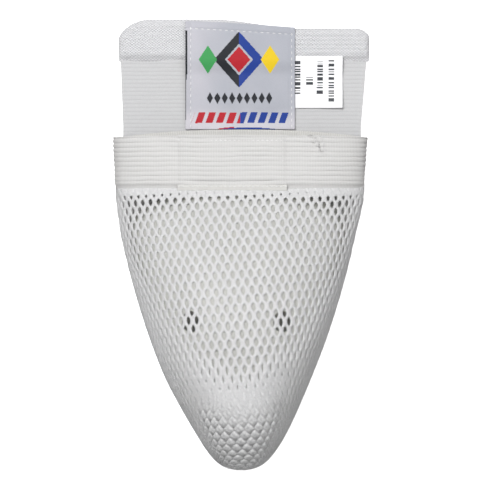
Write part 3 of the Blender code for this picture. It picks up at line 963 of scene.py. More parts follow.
    def _tiles(self, tree: bpy.types.NodeTree, given: bpy.types.Node) -> bpy.types.Node:
        """Adds the nodes that set the tiles out flat, and gives the last of them."""
        width, length, row = (given.outputs[name] for name in ("Width", "Length", "Row"))
        counts = {"Vertices X": given.outputs["Columns"], "Vertices Y": given.outputs["Rows"]}
        lattice = add(tree, "GeometryNodeMeshGrid", {"Size X": width, "Size Y": length, **counts})
        place = add(tree, "GeometryNodeInputPosition")
        across = add(tree, "ShaderNodeSeparateXYZ", {"Vector": place}).outputs["Y"]
        down = add(tree, MATH, {0: length, 1: 0.5, 2: across}, operation="MULTIPLY_ADD")
        rows_down = add(tree, MATH, {0: down, 1: row}, operation="DIVIDE")
        number = add(tree, MATH, {0: rows_down}, operation="ROUND")
        odd = add(tree, MATH, {0: number, 1: 2.0}, operation="MODULO")
        half_pitch = add(tree, MATH, {0: given.outputs["Pitch"], 1: 0.5}, operation="MULTIPLY")
        shift = add(tree, MATH, {0: odd, 1: half_pitch}, operation="MULTIPLY")
        moved = add(tree, "ShaderNodeCombineXYZ", {"X": shift, "Y": given.outputs["Start"]})
        staggered = add(tree, "GeometryNodeSetPosition", {"Geometry": lattice, "Offset": moved})
        tile = add(tree, "GeometryNodeObjectInfo", {"Object": given.outputs["Tile"]})
        copies = {"Points": staggered, "Instance": tile.outputs["Geometry"]}
        tiles = add(tree, "GeometryNodeInstanceOnPoints", copies)
        stored = {"Geometry": tiles, "Name": "cell", "Value": place}
        marked = add(
            tree, "GeometryNodeStoreNamedAttribute", stored, data_type="FLOAT_VECTOR", domain="INSTANCE"
        )
        real = add(tree, "GeometryNodeRealizeInstances", {"Geometry": marked})
        return add(tree, "GeometryNodeMergeByDistance", {"Geometry": real, "Distance": self.weld})

    def build(self) -> None:
        """Makes the net and stretches it over the dome."""
        base, area = self.base()
        tile = self.tile()
        wide, long = self.flat_size
        lean = long * math.sin(self.slant)
        columns = 2 * math.ceil((wide / 2 + lean) / self.pitch) + 1
        rows = round(long / self.row) + 2 * self.rows_above
        lattice = self.row * (rows - 1)
        values = {
            "Tile": tile, "Pitch": self.pitch, "Row": self.row, "Width": self.pitch * (columns - 1),
            "Length": lattice, "Start": lattice / 2 - self.row * self.rows_above, "Columns": columns,
            "Rows": rows, "Material": NET_KNIT.material(),
        }
        net = run_tree(base, self.tree(), values, "net_front")
        bpy.data.objects.remove(tile, do_unlink=True)
        for name in ("cell", "shut_at", *self.moves):
            if name in net.data.attributes:
                net.data.attributes.remove(net.data.attributes[name])
        ride(net, Body.POUCH, "mesh_cloth", "pouch_mesh")
        emptied(net)


# --------------------------------------------------------------------------------------------- cup


@dataclass
class Cup:
    """The hard cup: a smooth shell with a flared rim, two vents and a soft bead under its edge."""

    dome: Dome
    side_inset: float = 3.6
    tip_inset: float = 4.1
    under_net: float = 1.95
    edge_roundness: float = 20.0
    wall: float = 2.2
    shoulder_y: float = -7.0
    vent_x: float = 22.3
    vent_y: float = -38.0
    vent_size: tuple[float, float] = (4.5, 5.2)
    columns: int = 120

    def rim(self) -> np.ndarray:
        """The rim's points, from the top down the right side and round."""
        low, high = box_mm("cup_shell")
        tip_y = self.dome.low[1] + self.tip_inset
        top_y = float(high[1]) - self.wall / 2
        middle, half_length = (top_y + tip_y) / 2, (top_y - tip_y) / 2
        angle = np.linspace(0, 2 * math.pi, self.columns, endpoint=False)
        y = middle + half_length * np.cos(angle)
        half = self.dome.half_width(y, self.side_inset, self.tip_inset)
        share = np.clip((y - self.shoulder_y) / (top_y - self.shoulder_y), 0.0, 1.0)
        half = half * (1.0 - share**3) ** (1 / 3)
        side = np.sign(np.round(np.sin(angle), 9))
        return np.column_stack((self.dome.centre_at(y) + side * half, y))

    def build(self) -> None:
        """Makes the shell and the bead."""
        dome, rim = self.dome, self.rim()
        low, _ = box_mm("cup_shell")
        base_z = float(low[2]) + 0.3
        focus_y = np.clip(rim[:, 1], dome.fan_y, self.shoulder_y)
        reach = np.sin(np.linspace(0.0, math.pi / 2, 40))[:, None]
        y = focus_y + (rim[:, 1] - focus_y) * reach
        x = dome.centre_at(y) + (rim[:, 0] - dome.centre_at(rim[:, 1])) * reach
        rise = np.maximum(dome.surface(x, y) - self.under_net - base_z, 0.0)
        z = base_z + rise * (1.0 - reach**self.edge_roundness) ** 0.5
        grid = np.stack((x, y, z), axis=2)
        size = grid.shape[:2]
        index = np.arange(size[0] * size[1]).reshape(size)
        after = np.roll(index, -1, axis=1)
        quads = np.stack((index[:-1], index[1:], after[1:], after[:-1]), axis=2).reshape(-1, 4)
        shell = object_of("cup", grid.reshape(-1, 3), quads, None, CUP_PLASTIC.material())
        mend(shell.data, weld=0.05)
        wall = shell.modifiers.new("wall", "SOLIDIFY")
        wall.thickness, wall.offset, wall.use_even_offset = self.wall * MM, 0.0, True
        cutters = [self.cut_vent(shell, side) for side in (-1, 1)]
        soften = shell.modifiers.new("soft_edges", "BEVEL")
        soften.width, soften.segments, soften.limit_method = 0.5 * MM, 2, "ANGLE"
        soften.angle_limit = math.radians(50)
        plain = evaluated(shell, "cup")
        plain.data.shade_smooth()
        plain.data.set_sharp_from_angle(angle=math.radians(50))
        for cutter in cutters:
            bpy.data.objects.remove(cutter, do_unlink=True)
        ride(plain, Body.CUP, "cup_plastic", "cup_shell")
        self.build_bead(rim)

    def cut_vent(self, shell: bpy.types.Object, side: int) -> bpy.types.Object:
        """Cuts one oval vent in the shell.

        Args:
            shell: the cup.
            side: -1 for the left vent, 1 for the right.

        Returns:
            The cutter.
        """
        count = 32
        angle = np.linspace(0, 2 * math.pi, count, endpoint=False)
        x = self.dome.centre_at(self.vent_y) - 0.6 + side * self.vent_x + self.vent_size[0] * np.cos(angle)
        y = self.vent_y + self.vent_size[1] * np.sin(angle)
        rings = [np.column_stack((x, y, np.full(count, z))) for z in (20.0, 60.0)]
        sides = [(i, (i + 1) % count, (i + 1) % count + count, i + count) for i in range(count)]
        data = bpy.data.meshes.new("vent_cutter")
        caps = [tuple(reversed(range(count))), tuple(range(count, 2 * count))]
        data.from_pydata((np.vstack(rings) * MM).tolist(), [], [*sides, *caps])
        cutter = placed("vent_cutter", data)
        cutter.hide_render = True
        cut = shell.modifiers.new("vent", "BOOLEAN")
        cut.operation, cut.object = "DIFFERENCE", cutter
        return cutter

    def build_bead(self, rim: np.ndarray) -> None:
        """Makes the soft bead that the rim stands on."""
        low, high = box_mm("cup_edge_cushion")
        radius = float(high[2] - low[2]) / 2
        route = np.column_stack((rim, np.full(len(rim), float(low[2]) + radius)))
        bead = ring_tube("cup_bead", route, radius, CUSHION_RUBBER.material(), closed=True)
        ride(bead, Body.CUP, "cushion_rubber", "cup_edge_cushion")


def ring_tube(
    name: str, route: np.ndarray, radius: float, material: bpy.types.Material, closed: bool, sides: int = 14
) -> bpy.types.Object:
    """Makes a round bead along a route that lies flat.

    Args:
        name: the object's name.
        route: the bead's centreline, one row for each point.
        radius: the bead's radius.
        material: its material.
        closed: whether the route's ends meet.
        sides: how many faces go round it.

    Returns:
        The bead.
    """
    ahead = np.roll(route, -1, axis=0) - np.roll(route, 1, axis=0) if closed else np.gradient(route, axis=0)
    ahead /= np.linalg.norm(ahead, axis=1, keepdims=True)
    out = np.cross(ahead, (0.0, 0.0, 1.0))
    angle = np.linspace(0, 2 * math.pi, sides, endpoint=False)
    rings = route[:, None] + radius * (
        np.cos(angle)[None, :, None] * out[:, None] + np.sin(angle)[None, :, None] * np.array((0.0, 0.0, 1.0))
    )
    count = len(route)
    index = np.arange(count * sides).reshape(count, sides)
    near = index if closed else index[:-1]
    far = np.roll(index, -1, axis=0) if closed else index[1:]
    quads = np.stack((near, np.roll(near, -1, axis=1), np.roll(far, -1, axis=1), far), axis=2)
    flat = np.stack(np.meshgrid(angle * radius, run_length(route)), axis=2)[..., ::-1].reshape(-1, 2)
    bead = object_of(name, rings.reshape(-1, 3), quads.reshape(-1, 4), flat, material)
    if not closed:
        mend(bead.data, sides=sides)
    return bead


# ------------------------------------------------------------------------------------ pouch's back


@dataclass
class PouchBack:
    """The lining behind the cup, and the rolled bead that binds the pouch's lower edge."""

    dome: Dome
    bead: float = 1.3

    def outline(self, y: np.ndarray, inset: float) -> np.ndarray:
        """Half of the lining's width at each y."""
        return np.maximum(self.dome.half_width(y, inset, inset), 0.3)

    def build(self) -> None:
        """Makes the lining and the bead."""
        low, high = box_mm("pouch_lining")
        share = np.linspace(0.0, 1.0, 90)
        y = high[1] + (low[1] + 0.4 - high[1]) * np.sin(share * math.pi / 2)
        half = self.outline(y, 2.0)
        side = np.sin(np.linspace(-math.pi / 2, math.pi / 2, 80))
        x = self.dome.centre_at(y)[:, None] + half[:, None] * side[None, :]
        yy = np.broadcast_to(y[:, None], x.shape)
        z = float(low[2] + high[2]) / 2 + 0.12 * waves(x, yy, 34.0, 0.4)
        grid = np.stack((x, yy, z), axis=2)[::-1]
        lining = cloth("lining", grid, 0.7, LINING.material())
        ride(lining, Body.POUCH, "lining_knit", "pouch_lining")

        top_y = float(box_mm("pouch_edge_binding")[1][1])
        turn = np.linspace(-1.0, 1.0, 160)
        route_y = top_y + (self.dome.low[1] + 1.2 - top_y) * np.cos(turn * math.pi / 2) ** 1.1
        half = self.dome.half_width(route_y, 1.7, 1.4)
        route = np.column_stack(
            (
                self.dome.centre_at(route_y) + np.sign(turn) * half,
                route_y,
                np.full(len(turn), float(low[2]) - 1.6),
            )
        )
        bead = ring_tube("edge_bead", route, self.bead, TAPE.material(), closed=False, sides=12)
        ride(bead, Body.POUCH, "hem_tape", "pouch_edge_binding")


# ------------------------------------------------------------------------------------- front band


@dataclass
class FrontBand:
    """The ribbed elastic on the pouch's top edge, its stitched patch and the tape on its seam."""

    pitch: float = 2.37
    depth: float = 0.54
    thickness: float = 1.1
    rib_rows: int = 9

    def __post_init__(self) -> None:
        low, high = box_mm("front_band")
        self.low_y, self.high_y = float(low[1]) - 1.0, float(high[1])
        self.centre_x = float(low[0] + high[0]) / 2
        self.half = float(high[0] - low[0]) / 2 - self.thickness / 2 - 0.2
        self.base_z = float(low[2]) + 0.75
        self.top_z = float(high[2]) - self.thickness / 2 - 0.3

    def height(self, x: np.ndarray) -> np.ndarray:
        """Height of the band's middle surface at x."""
        share = np.clip(np.abs(x - self.centre_x) / self.half, 0.0, 1.0)
        return self.base_z + (self.top_z - self.base_z) * (1.0 - share**3) ** 0.45

    def swell(self, x: np.ndarray, y: np.ndarray) -> np.ndarray:
        """The band's soft unevenness, and the crease beside the patch."""
        corner = ((30.0, 53.8), (34.5, 53.0), (37.4, 51.2), (38.5, 48.6), (38.9, 45.0))
        fold = even_path(corner, 0.5, rounds=2)
        away = distance_to(fold, x, y)
        outer_side = np.where(x - 36.0 + (y - 50.0) > 0.0, 1.0, 0.3)
        ridge = 0.5 * outer_side * np.exp(-(((away - 1.1) / 0.8) ** 2)) - 0.55 * np.exp(-((away / 0.5) ** 2))
        return 0.28 * waves(x, y, 46.0, 2.2) + ridge * (1.0 - 0.75 * soft_step(y, 51.8, 53.4))

    def build(self) -> None:
        """Makes the band, its patch, the tape and their stitches."""
        self.build_band()
        self.build_patch()

    def build_band(self) -> None:
        """Makes the band itself, with its ends turned in behind."""
        turn = np.linspace(-math.pi / 2, math.pi / 2, 120)
        x = self.centre_x + self.half * np.sin(turn)
        arch = np.column_stack((x, self.height(x)))
        foot = 6.5
        ends = (
            [self.centre_x - self.half + foot, self.base_z], [self.centre_x + self.half - foot, self.base_z]
        )
        path = even_path(np.vstack((ends[0], arch, ends[1])), 0.5, rounds=1)
        count = round((self.high_y - self.low_y) / self.pitch) * self.rib_rows
        px, py = np.meshgrid(path[:, 0], np.linspace(self.low_y, self.high_y, count + 1))
        pz = np.broadcast_to(path[:, 1], px.shape)
        raised = soft_step(pz, self.base_z + 2.0, self.base_z + 5.0)
        sides = soft_step(np.abs(px - self.centre_x), 40.0, 63.0)
        y = py - 0.35 * sides * soft_step(py, 44.0, 54.0)
        narrowing = np.where(px > self.centre_x, -1.7, 1.0) * (self.high_y - py) / (self.high_y - self.low_y)
        px = px + narrowing * (np.abs(px - self.centre_x) / self.half) ** 5
        z = pz + (self.swell(px, py) - self.droop(py)) * raised
        rib = self.ribs_at(px, py) * (1.0 - 0.8 * soft_step(-py, -31.0, -28.6))
        grid = np.stack((px, y, z), axis=2)
        thin = 0.35 * soft_step(-py, -30.0, -self.low_y)
        band = cloth("band", grid, self.thickness, BAND_ELASTIC.material(), rib - thin, rib * 0.5 - thin)
        ride(band, Body.POUCH, "ribbed_elastic", "front_band")
        emptied(band)

    def droop(self, y: np.ndarray) -> np.ndarray:
        """How far the seam zone at the band's lower edge bends down to the net."""
        return 0.9 * soft_step(-y, -31.0, -self.low_y)

    def ribs_at(self, x: np.ndarray, y: np.ndarray) -> np.ndarray:
        """Heights of the band's ribs, which wander a little and differ in depth."""
        wander = 0.42 * waves(x, y, 58.0, 0.9) + 0.12 * waves(x, y, 13.0, 2.0)
        depth = self.depth * (1.0 + 0.45 * waves(x, y * 2.0, 31.0, 4.0))
        return ribs(y - self.low_y + wander, self.pitch, 1.0) * depth

    def build_patch(self) -> None:
        """Makes the patch over the band's joint, the tape below it and all their stitches."""
        low, high = box_mm("front_band_patch")
        left, right = float(low[0]) + 0.5, float(high[0]) - 0.3
        bottom, top = 28.6, float(high[1]) - 0.1
        seam_top, seam_inset, tape_seam = 51.2, 2.4, 28.3
        count = round((top - bottom) / self.pitch) * self.rib_rows
        x, y = np.meshgrid(np.linspace(left, right, 90), np.linspace(bottom, top, count + 1))
        lift = self.thickness / 2 + 0.35
        edge = np.minimum(x - left, right - x)
        side_dip = -0.95 * (1.0 - soft_step(edge, 0.0, 2.6))
        smile = -0.7 * np.exp(-(((y - 30.8) / 1.0) ** 2)) * soft_step(edge, 2.0, 12.0)
        top_dip = np.exp(-(((y - seam_top) / 0.6) ** 2))
        seam_dips = -0.22 * (top_dip + np.exp(-(((edge - seam_inset) / 0.6) ** 2)))
        z = self.height(x) + self.swell(x, y) - self.droop(y) + lift + side_dip + smile + seam_dips
        grid = np.stack((x, y, z), axis=2)
        rib = self.ribs_at(x * 1.02 + 3.0, y) * 0.9
        patch = cloth("band_patch", grid, 0.7, BAND_ELASTIC.material(), front=rib)
        ride(patch, Body.POUCH, "ribbed_elastic", "front_band_patch")
        emptied(patch)

        tape_low, tape_high = 25.7, 29.2
        x, y = np.meshgrid(np.linspace(left + 0.3, right - 0.2, 110), np.linspace(tape_low, tape_high, 14))
        lower = self.droop(y) + 0.5 * soft_step(-y, -27.0, -25.7)
        round_off = 0.4 * np.sin(math.pi * (y - tape_low) / (tape_high - tape_low)) ** 0.6
        z = self.height(x) + self.swell(x, y) - lower + lift + 0.35 + round_off
        grain = 0.1 * np.sin(2 * math.pi * (x + 0.4 * y) / 1.2) + 0.1 * waves(x, y, 4.0, 1.0)
        tape = cloth("hem_tape_strip", np.stack((x, y, z), axis=2), 0.4, TAPE.material(), front=grain)
        ride(tape, Body.POUCH, "hem_tape", "mesh_hem_tape")
        emptied(tape)

        seams = Seams("band_stitches", Body.POUCH, "hem_tape", pitch=2.2, length=1.7, thread=0.45)
        top_of_patch = lift + 0.35 + self.depth * 0.5

        def on_patch(x0: float, y0: float, x1: float, y1: float, extra: float) -> None:
            """Sews one straight row on the patch."""
            xs, ys = np.linspace(x0, x1, 24), np.linspace(y0, y1, 24)
            zs = self.height(xs) + self.swell(xs, ys) - self.droop(ys) + top_of_patch + extra
            seams.sew(np.column_stack((xs, ys, zs)))

        for seam_y, proud in ((seam_top, -0.2), (tape_seam, 0.45)):
            on_patch(left + 1.0, seam_y, right - 1.0, seam_y, proud)
        for seam_x in (left + seam_inset, right - seam_inset):
            on_patch(seam_x, 32.0, seam_x, 53.0, -0.4)
        emptied(seams.build())


# ------------------------------------------------------------------------------------- waist belt


@dataclass
class WaistBelt:
    """The wide elastic belt: its front run, the folded slack and the rear run with its pile edge."""

    web: float = 75.0
    thickness: float = 1.0
    low_width: float = 0.79

    def __post_init__(self) -> None:
        low, high = box_mm("front_belt")
        self.low_y, self.arch_y = float(low[1]) + 0.1, float(high[1])
        self.centre_x = float(low[0] + high[0]) / 2
        self.front_z = float(high[2]) - 0.65
        self.front_turn = (float(high[0]) - self.centre_x) - 1.45
        rear_low, rear_high = box_mm("rear_belt")
        self.rear_z = float(rear_low[2] + rear_high[2]) / 2
        self.rear_low, self.rear_high = rear_low, rear_high
        self.step = (self.front_z - self.rear_z) / 3

    def slanted(self, x: np.ndarray, y: np.ndarray) -> np.ndarray:
        """Moves a point of the belt's front towards the middle, more the lower it is."""
        band_top = self.low_y + self.web - 3.5
        share = np.minimum(1.0, (band_top - y) / (band_top - self.low_y))
        return self.centre_x + (x - self.centre_x) * (1.0 - (1.0 - self.low_width) * share)

    def top_edge(self, x: np.ndarray) -> np.ndarray:
        """The rear run's upper edge: higher on the left, with a round corner at each end."""
        rise = soft_step(-x, -30.0, 15.0)
        top = 107.9 + 4.6 * rise
        left = np.clip((-45.0 - x) / 17.4, 0.0, 1.0)
        right = np.clip((x - 57.0) / 7.3, 0.0, 1.0)
        top = top - 13.5 * (1.0 - np.sqrt(1.0 - left * left))
        return top - 7.0 * (1.0 - np.sqrt(1.0 - right * right))

    def run(
        self, name: str, path: np.ndarray, top_y: np.ndarray, finish: ThreadCloth, node: str, held: str
    ) -> bpy.types.Object:
        """Makes one run of the belt, whose slanting side turns follow a path.

        Args:
            name: the piece's name.
            path: (x, z) points along the belt.
            top_y: the upper edge's y at each point.
            finish: the elastic's face.
            node: the frame node that it replaces.
            held: how the sheet is held; not used.

        Returns:
            The piece.
        """
        share = np.linspace(0.0, 1.0, 60)[:, None]
        y = self.low_y + share * (top_y[None, :] - self.low_y)
        x = self.slanted(np.broadcast_to(path[:, 0], y.shape), y)
        z = np.broadcast_to(path[:, 1], y.shape)
        made = cloth(name, np.stack((x, y, z), axis=2), self.thickness, finish.material())
        ride(made, Body.POUCH, "ribbed_elastic", node)
        return made

    def build(self) -> None:
        """Makes every run of the belt."""
        self.build_front()
        self.build_folds()
        self.build_rear()
        self.build_pile()

    def build_front(self) -> None:
        """Makes the front run, whose top edge bows up behind the band."""
        z = self.front_z - self.step / 2
        left = fold_arc(self.centre_x - self.front_turn, z, self.step / 2, 270, 90)
        right = fold_arc(self.centre_x + self.front_turn, z, self.step / 2, 90, -90)
        path = even_path([*left, *right], 1.5, rounds=0)
        share = np.minimum(1.0, np.abs(path[:, 0] - self.centre_x) / self.front_turn)
        top_y = self.arch_y - 4.0 * share**2.5
        self.run("belt_front", path, top_y, ARCH_ELASTIC, "front_belt", "folded")

    def build_folds(self) -> None:
        """Makes the slack on each side, folded in two runs."""
        inner_x = 10.0
        for side, label in ((-1, "left"), (1, "right")):
            z = self.front_z - 1.5 * self.step
            inner = fold_arc(inner_x, z, self.step / 2, 90, 270)
            half = self.step / 2
            path = [(self.front_turn - 0.6, z + half), *inner, (self.front_turn - 2.0, z - half)]
            points = even_path(path, 1.5, rounds=0)
            points[:, 0] = self.centre_x + side * points[:, 0]
            top_y = np.full(len(points), self.low_y + self.web - 4.0)
            self.run(f"belt_slack_{label}", points, top_y, BELT_ELASTIC, f"belt_fold_{label}", "folded")

    def build_rear(self) -> None:
        """Makes the rear run as one cloth, whose sides run from the lower part's width to the rear run's own
        above the fold.
        """
        left, right = float(self.rear_low[0]), float(self.rear_high[0])
        lower_low, lower_high = box_mm("rear_belt_lower")
        bottom, fold_y = float(lower_low[1]), float(lower_high[1]) + 0.4
        turn = np.sin(np.linspace(-math.pi / 2, math.pi / 2, 110))
        top = self.top_edge(np.clip((left + right) / 2 + (right - left) / 2 * turn, left, right)) - 3.4
        share = np.linspace(0.0, 1.0, 150)[:, None]
        y = bottom + share * (top[None, :] - bottom)
        spread = np.clip((y - fold_y) / 40.0, 0.0, 1.0)
        low_left, low_right = float(lower_low[0]) - 0.3, float(lower_high[0]) - 0.3
        x_left, x_right = low_left + (left - low_left) * spread, low_right + (right - low_right) * spread
        xx = (x_left + x_right) / 2 + (x_right - x_left) / 2 * turn[None, :]
        z = self.rear_z + 0.2 * waves(xx, y, 42.0, 1.1)
        grid, flat = np.stack((xx, y, z), axis=2), np.stack((xx, y), axis=2)
        rear = cloth("belt_rear", grid, self.thickness, BELT_ELASTIC.material(), flat=flat)
        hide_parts("rear_belt", "rear_belt_lower")
        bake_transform(rear)
        log.info("belt_rear: %d faces, bends at the fold", len(rear.data.polygons))

    def build_pile(self) -> None:
        """Makes the soft pile folded over the rear run's top edge, with its looped surface."""
        low, high = box_mm("rear_belt_binding")
        left, right = float(low[0]) + 0.25, float(high[0]) - 0.25
        front_y, middle_z, reach = 91.2, self.rear_z + 0.1, 2.15
        turn = np.linspace(-math.pi / 2, math.pi / 2, 230)
        x = (left + right) / 2 + (right - left) / 2 * np.sin(turn)
        top = self.top_edge(np.clip(x, left, right)) - 0.3
        share = np.linspace(0.0, 1.0, 52)[:, None] ** 1.6
        y = top[None, :] + share * (front_y - top[None, :])
        xx = np.broadcast_to(x, y.shape)
        outline = even_path(
            np.vstack(([left, front_y], np.column_stack((x, top)), [right, front_y])), 0.5, rounds=0
        )
        away = distance_to(outline, xx, y)
        swell = reach * np.sqrt(1.0 - (1.0 - np.clip(away / 3.2, 0.0, 1.0)) ** 2)
        lower_edge = 1.0 - soft_step(y, front_y, front_y + 3.8)
        loops = np.abs(np.sin(math.pi * (xx / 2.5 + 0.5 * np.floor(y / 2.2))))
        loops = loops * np.abs(np.sin(math.pi * y / 2.2))
        honeycomb = soft_step(xx, -30.0, 20.0)
        tufts = waves(xx, y, 3.1, 0.7) * waves(xx * 1.3, y * 0.5, 2.3, 3.1)
        nap = 0.55 * loops**0.7 * (0.2 + 0.8 * honeycomb) + 0.6 * tufts * (1.0 - 0.7 * honeycomb)
        rise = soft_step(away, 0.1, 1.2) * (1.0 - 0.7 * lower_edge)
        upper = middle_z + swell * (1.0 - 0.86 * lower_edge)
        upper = upper + nap * rise + 0.3 * waves(xx, y, 44.0, 3.0) * rise
        lower = middle_z - np.minimum(swell, middle_z - 0.1)
        front, back = np.stack((xx, y, upper), axis=2), np.stack((xx, y, lower), axis=2)
        pile = closed_sheet("pile_edge", front, back, np.stack((xx, y), axis=2), PILE.material())
        ride(pile, Body.REAR_BELT, "pile_cloth", "rear_belt_binding")


# --------------------------------------------------------------------------------- label and tag


@dataclass
class Label:
    """The woven label: a thread-by-thread pattern of plain diamonds, sewn down on three sides."""

    thread: float = 0.3
    left: float = -28.2
    right: float = 26.4
    bottom: float = 57.2
    ground: str = "#adafb7"
    # the colour of a painted highlight on the satin ground
    painted_glint: str = "#cbc8ce"
    black: str = "#22242a"
    red: str = "#b5202c"
    blue: str = "#1d3c8f"
    green: str = "#3f9a55"
    yellow: str = "#e6c51f"

    def top(self, x: np.ndarray) -> np.ndarray:
        """The label's upper edge at x, which falls to the right."""
        return 111.2 - 3.2 * np.clip((x - self.left) / (self.right - self.left), 0.0, 1.0) ** 1.4

    def height(self, x: np.ndarray, y: np.ndarray) -> np.ndarray:
        """Height of the label's middle surface: over the pile, down to the belt, then curling up."""
        _, pile = box_mm("rear_belt_binding")
        over = float(pile[2]) + 0.9
        under = over - 1.5
        z = under + (over - under) * soft_step(y, 84.0, 92.5)
        z = z + 0.32 * waves(x, y, 30.0, 0.5) * soft_step(y, 58.0, 64.0) + 0.2 * waves(x, y, 17.0, 2.0)
        curl = 1.5 * np.exp(-(((x - 3.0) / 17.0) ** 2)) * soft_step(-y, -(self.bottom + 4.5), -self.bottom)
        edge = np.minimum(x - self.left, self.right - x)
        lifted = 0.35 * (1.0 - soft_step(edge, 0.0, 2.0)) * soft_step(y, 60.0, 70.0)
        hem = -0.22 * np.exp(-(((edge - 2.6) / 0.5) ** 2))
        hem = hem - 0.22 * np.exp(-(((self.top(x) - y - 3.6) / 0.5) ** 2))
        return z + curl + lifted + hem

    def colour_at(self, x: np.ndarray, y: np.ndarray) -> np.ndarray:
        """Picks each thread crossing's colour, with a painted highlight on the satin ground and a painted
        shadow along the left edge.

        Args:
            x: places across the label.
            y: places up the label.

        Returns:
            Linear RGBA for each place.
        """
        names = [self.ground, self.black, self.red, self.blue, self.green, self.yellow]
        palette = np.array([linear(name) for name in names])
        pick = np.zeros(x.shape, dtype=int)
        cx, cy = -1.5, 92.0
        large = np.abs(x - cx) / 12.5 + np.abs(y - cy) / 14.0
        outer = (large < 1.0) & (large > 0.56)
        pick[outer & (x < cx)] = 1
        pick[outer & (x >= cx)] = 3
        pick[large < 0.46] = 2
        for side, colour in ((-1, 4), (1, 5)):
            small = np.abs(x - cx - side * 15.5) / 4.6 + np.abs(y - cy) / 7.0
            pick[small < 1.0] = colour
        pitch, half_height = 3.7, 2.9
        along, off = (x + 1.2) / pitch, np.abs(y - 72.8) / half_height
        bar = (np.abs(along) < 4.5) & (off < 1.0)
        pick[bar & (np.abs(along - np.round(along)) / 0.42 + off < 1.0)] = 1
        strip_y, block_pitch = 63.0, 5.2
        lean = x - 0.35 * (y - strip_y)
        block = np.abs(lean / block_pitch - np.round(lean / block_pitch)) < 0.33
        strip = (np.abs(y - strip_y) < 2.7) & (np.abs(lean + 1.0) < 23.4) & block
        pick[strip & (x < -1.0)] = 2
        pick[strip & (x >= -1.0)] = 3
        lip = self.bottom + 1.5 * np.clip(1.0 - ((x - 3.5) / 18.0) ** 2, 0.0, 1.0)
        pick[(y < lip - 0.55) & (np.abs(x - 3.5) < 18.0)] = 3
        pick[(y < lip) & (y >= lip - 0.55) & (x < -4.0) & (x > -12.0)] = 2
        # painted shadow: a dark strip along the label's raised left edge, drawn in the black thread colour
        edge_shadow_width = 0.35 + 0.5 * soft_step(y, 80.0, 86.0)
        pick[(x < self.left + edge_shadow_width) & (y > 62.0) & (y < 106.5)] = 1
        # painted highlight: the satin ground is lightened towards the left and the bottom, with a little
        # uneven swell
        painted_glint = 0.5 * soft_step(-x, 2.0, 26.0) + 0.8 * soft_step(-y, -69.0, -60.0)
        painted_glint = painted_glint + 0.12 * waves(x, y, 21.0, 0.3)
        # how much of the painted highlight each place of the ground takes
        sheen = np.clip(painted_glint, 0.0, 1.0)[..., None] * (pick == 0)[..., None]
        return palette[pick] * (1.0 - sheen) + np.array(linear(self.painted_glint)) * sheen

    def build(self) -> None:
        """Makes the label and the stitches round it."""
        across = np.linspace(self.left, self.right, round((self.right - self.left) / self.thread) + 1)
        rows = round((112.0 - self.bottom) / self.thread)
        share = np.linspace(0.0, 1.0, rows + 1)[:, None]
        y = self.bottom + share * (self.top(across)[None, :] - self.bottom)
        x = np.broadcast_to(across, y.shape)
        grid = np.stack((x, y, self.height(x, y)), axis=2)
        label = cloth("label", grid, 0.4, SATIN.material())
        paint(label, self.colour_at)
        ride(label, Body.REAR_BELT, "label_satin", "woven_label")

        seams = Seams("label_stitches", Body.REAR_BELT, "label_satin", pitch=2.9, length=1.9, thread=0.42)
        left, right, low, drop = self.left + 2.6, self.right - 1.6, self.bottom + 1.5, 3.6
        tops = self.top(np.array((left, right))) - drop
        corners = ((left, low), (left, tops[0]), (right, tops[1]), (right, low))
        for start, end in zip(corners, corners[1:]):
            line = np.linspace(start, end, 40)
            seams.sew(np.column_stack((line, self.height(line[:, 0], line[:, 1]) + 0.34)))
        seams.build()


@dataclass
class SizeTag:
    """The bright tag beside the label, with plain ruled bars."""

    cell: float = 0.35
    paper: str = "#f4f4f5"
    ink: str = "#3a3c41"

    def height(self, x: np.ndarray, y: np.ndarray) -> np.ndarray:
        """Height of the tag's middle surface, which follows the belt and lifts at its free corner."""
        _, pile = box_mm("rear_belt_binding")
        over = float(pile[2]) + 0.5
        z = over - 1.35 * (1.0 - soft_step(y, 83.0, 89.5))
        lift = 1.1 * soft_step(x, 38.0, 50.5) * soft_step(-y, -80.0, -67.5)
        tucked = 0.7 * (1.0 - soft_step(x, 25.8, 29.0))
        return z + lift - tucked + 0.15 * waves(x, y, 25.0, 1.9)

    def colour_at(self, x: np.ndarray, y: np.ndarray) -> np.ndarray:
        """Picks paper or ink for each place: four columns of plain ruled strokes, which say nothing."""
        inked = np.zeros(x.shape, dtype=bool)
        columns = (
            (27.6, 74.5, 91.5, 3.0), (33.6, 79.5, 84.0, 3.6),
            (38.9, 75.0, 91.0, 3.0), (44.6, 70.5, 92.0, 3.0),
        )
        for centre, low, high, width in columns:
            strokes = np.sin(2.9 * y + centre) + np.sin(4.7 * y) > -0.15
            inked |= (np.abs(x - centre) < width / 2) & (y > low) & (y < high) & strokes
        return np.where(inked[..., None], np.array(linear(self.ink)), np.array(linear(self.paper)))

    def build(self) -> None:
        """Makes the tag."""
        left, right, bottom, top = 24.6, 50.2, 67.9, 93.8
        columns, rows = round((right - left) / self.cell), round((top - bottom) / self.cell)
        x, y = np.meshgrid(np.linspace(left, right, columns + 1), np.linspace(bottom, top, rows + 1))
        tag = cloth("tag", np.stack((x, y, self.height(x, y)), axis=2), 0.25, TAG.material())
        paint(tag, self.colour_at)
        ride(tag, Body.REAR_BELT, "tag_card", "size_tag")


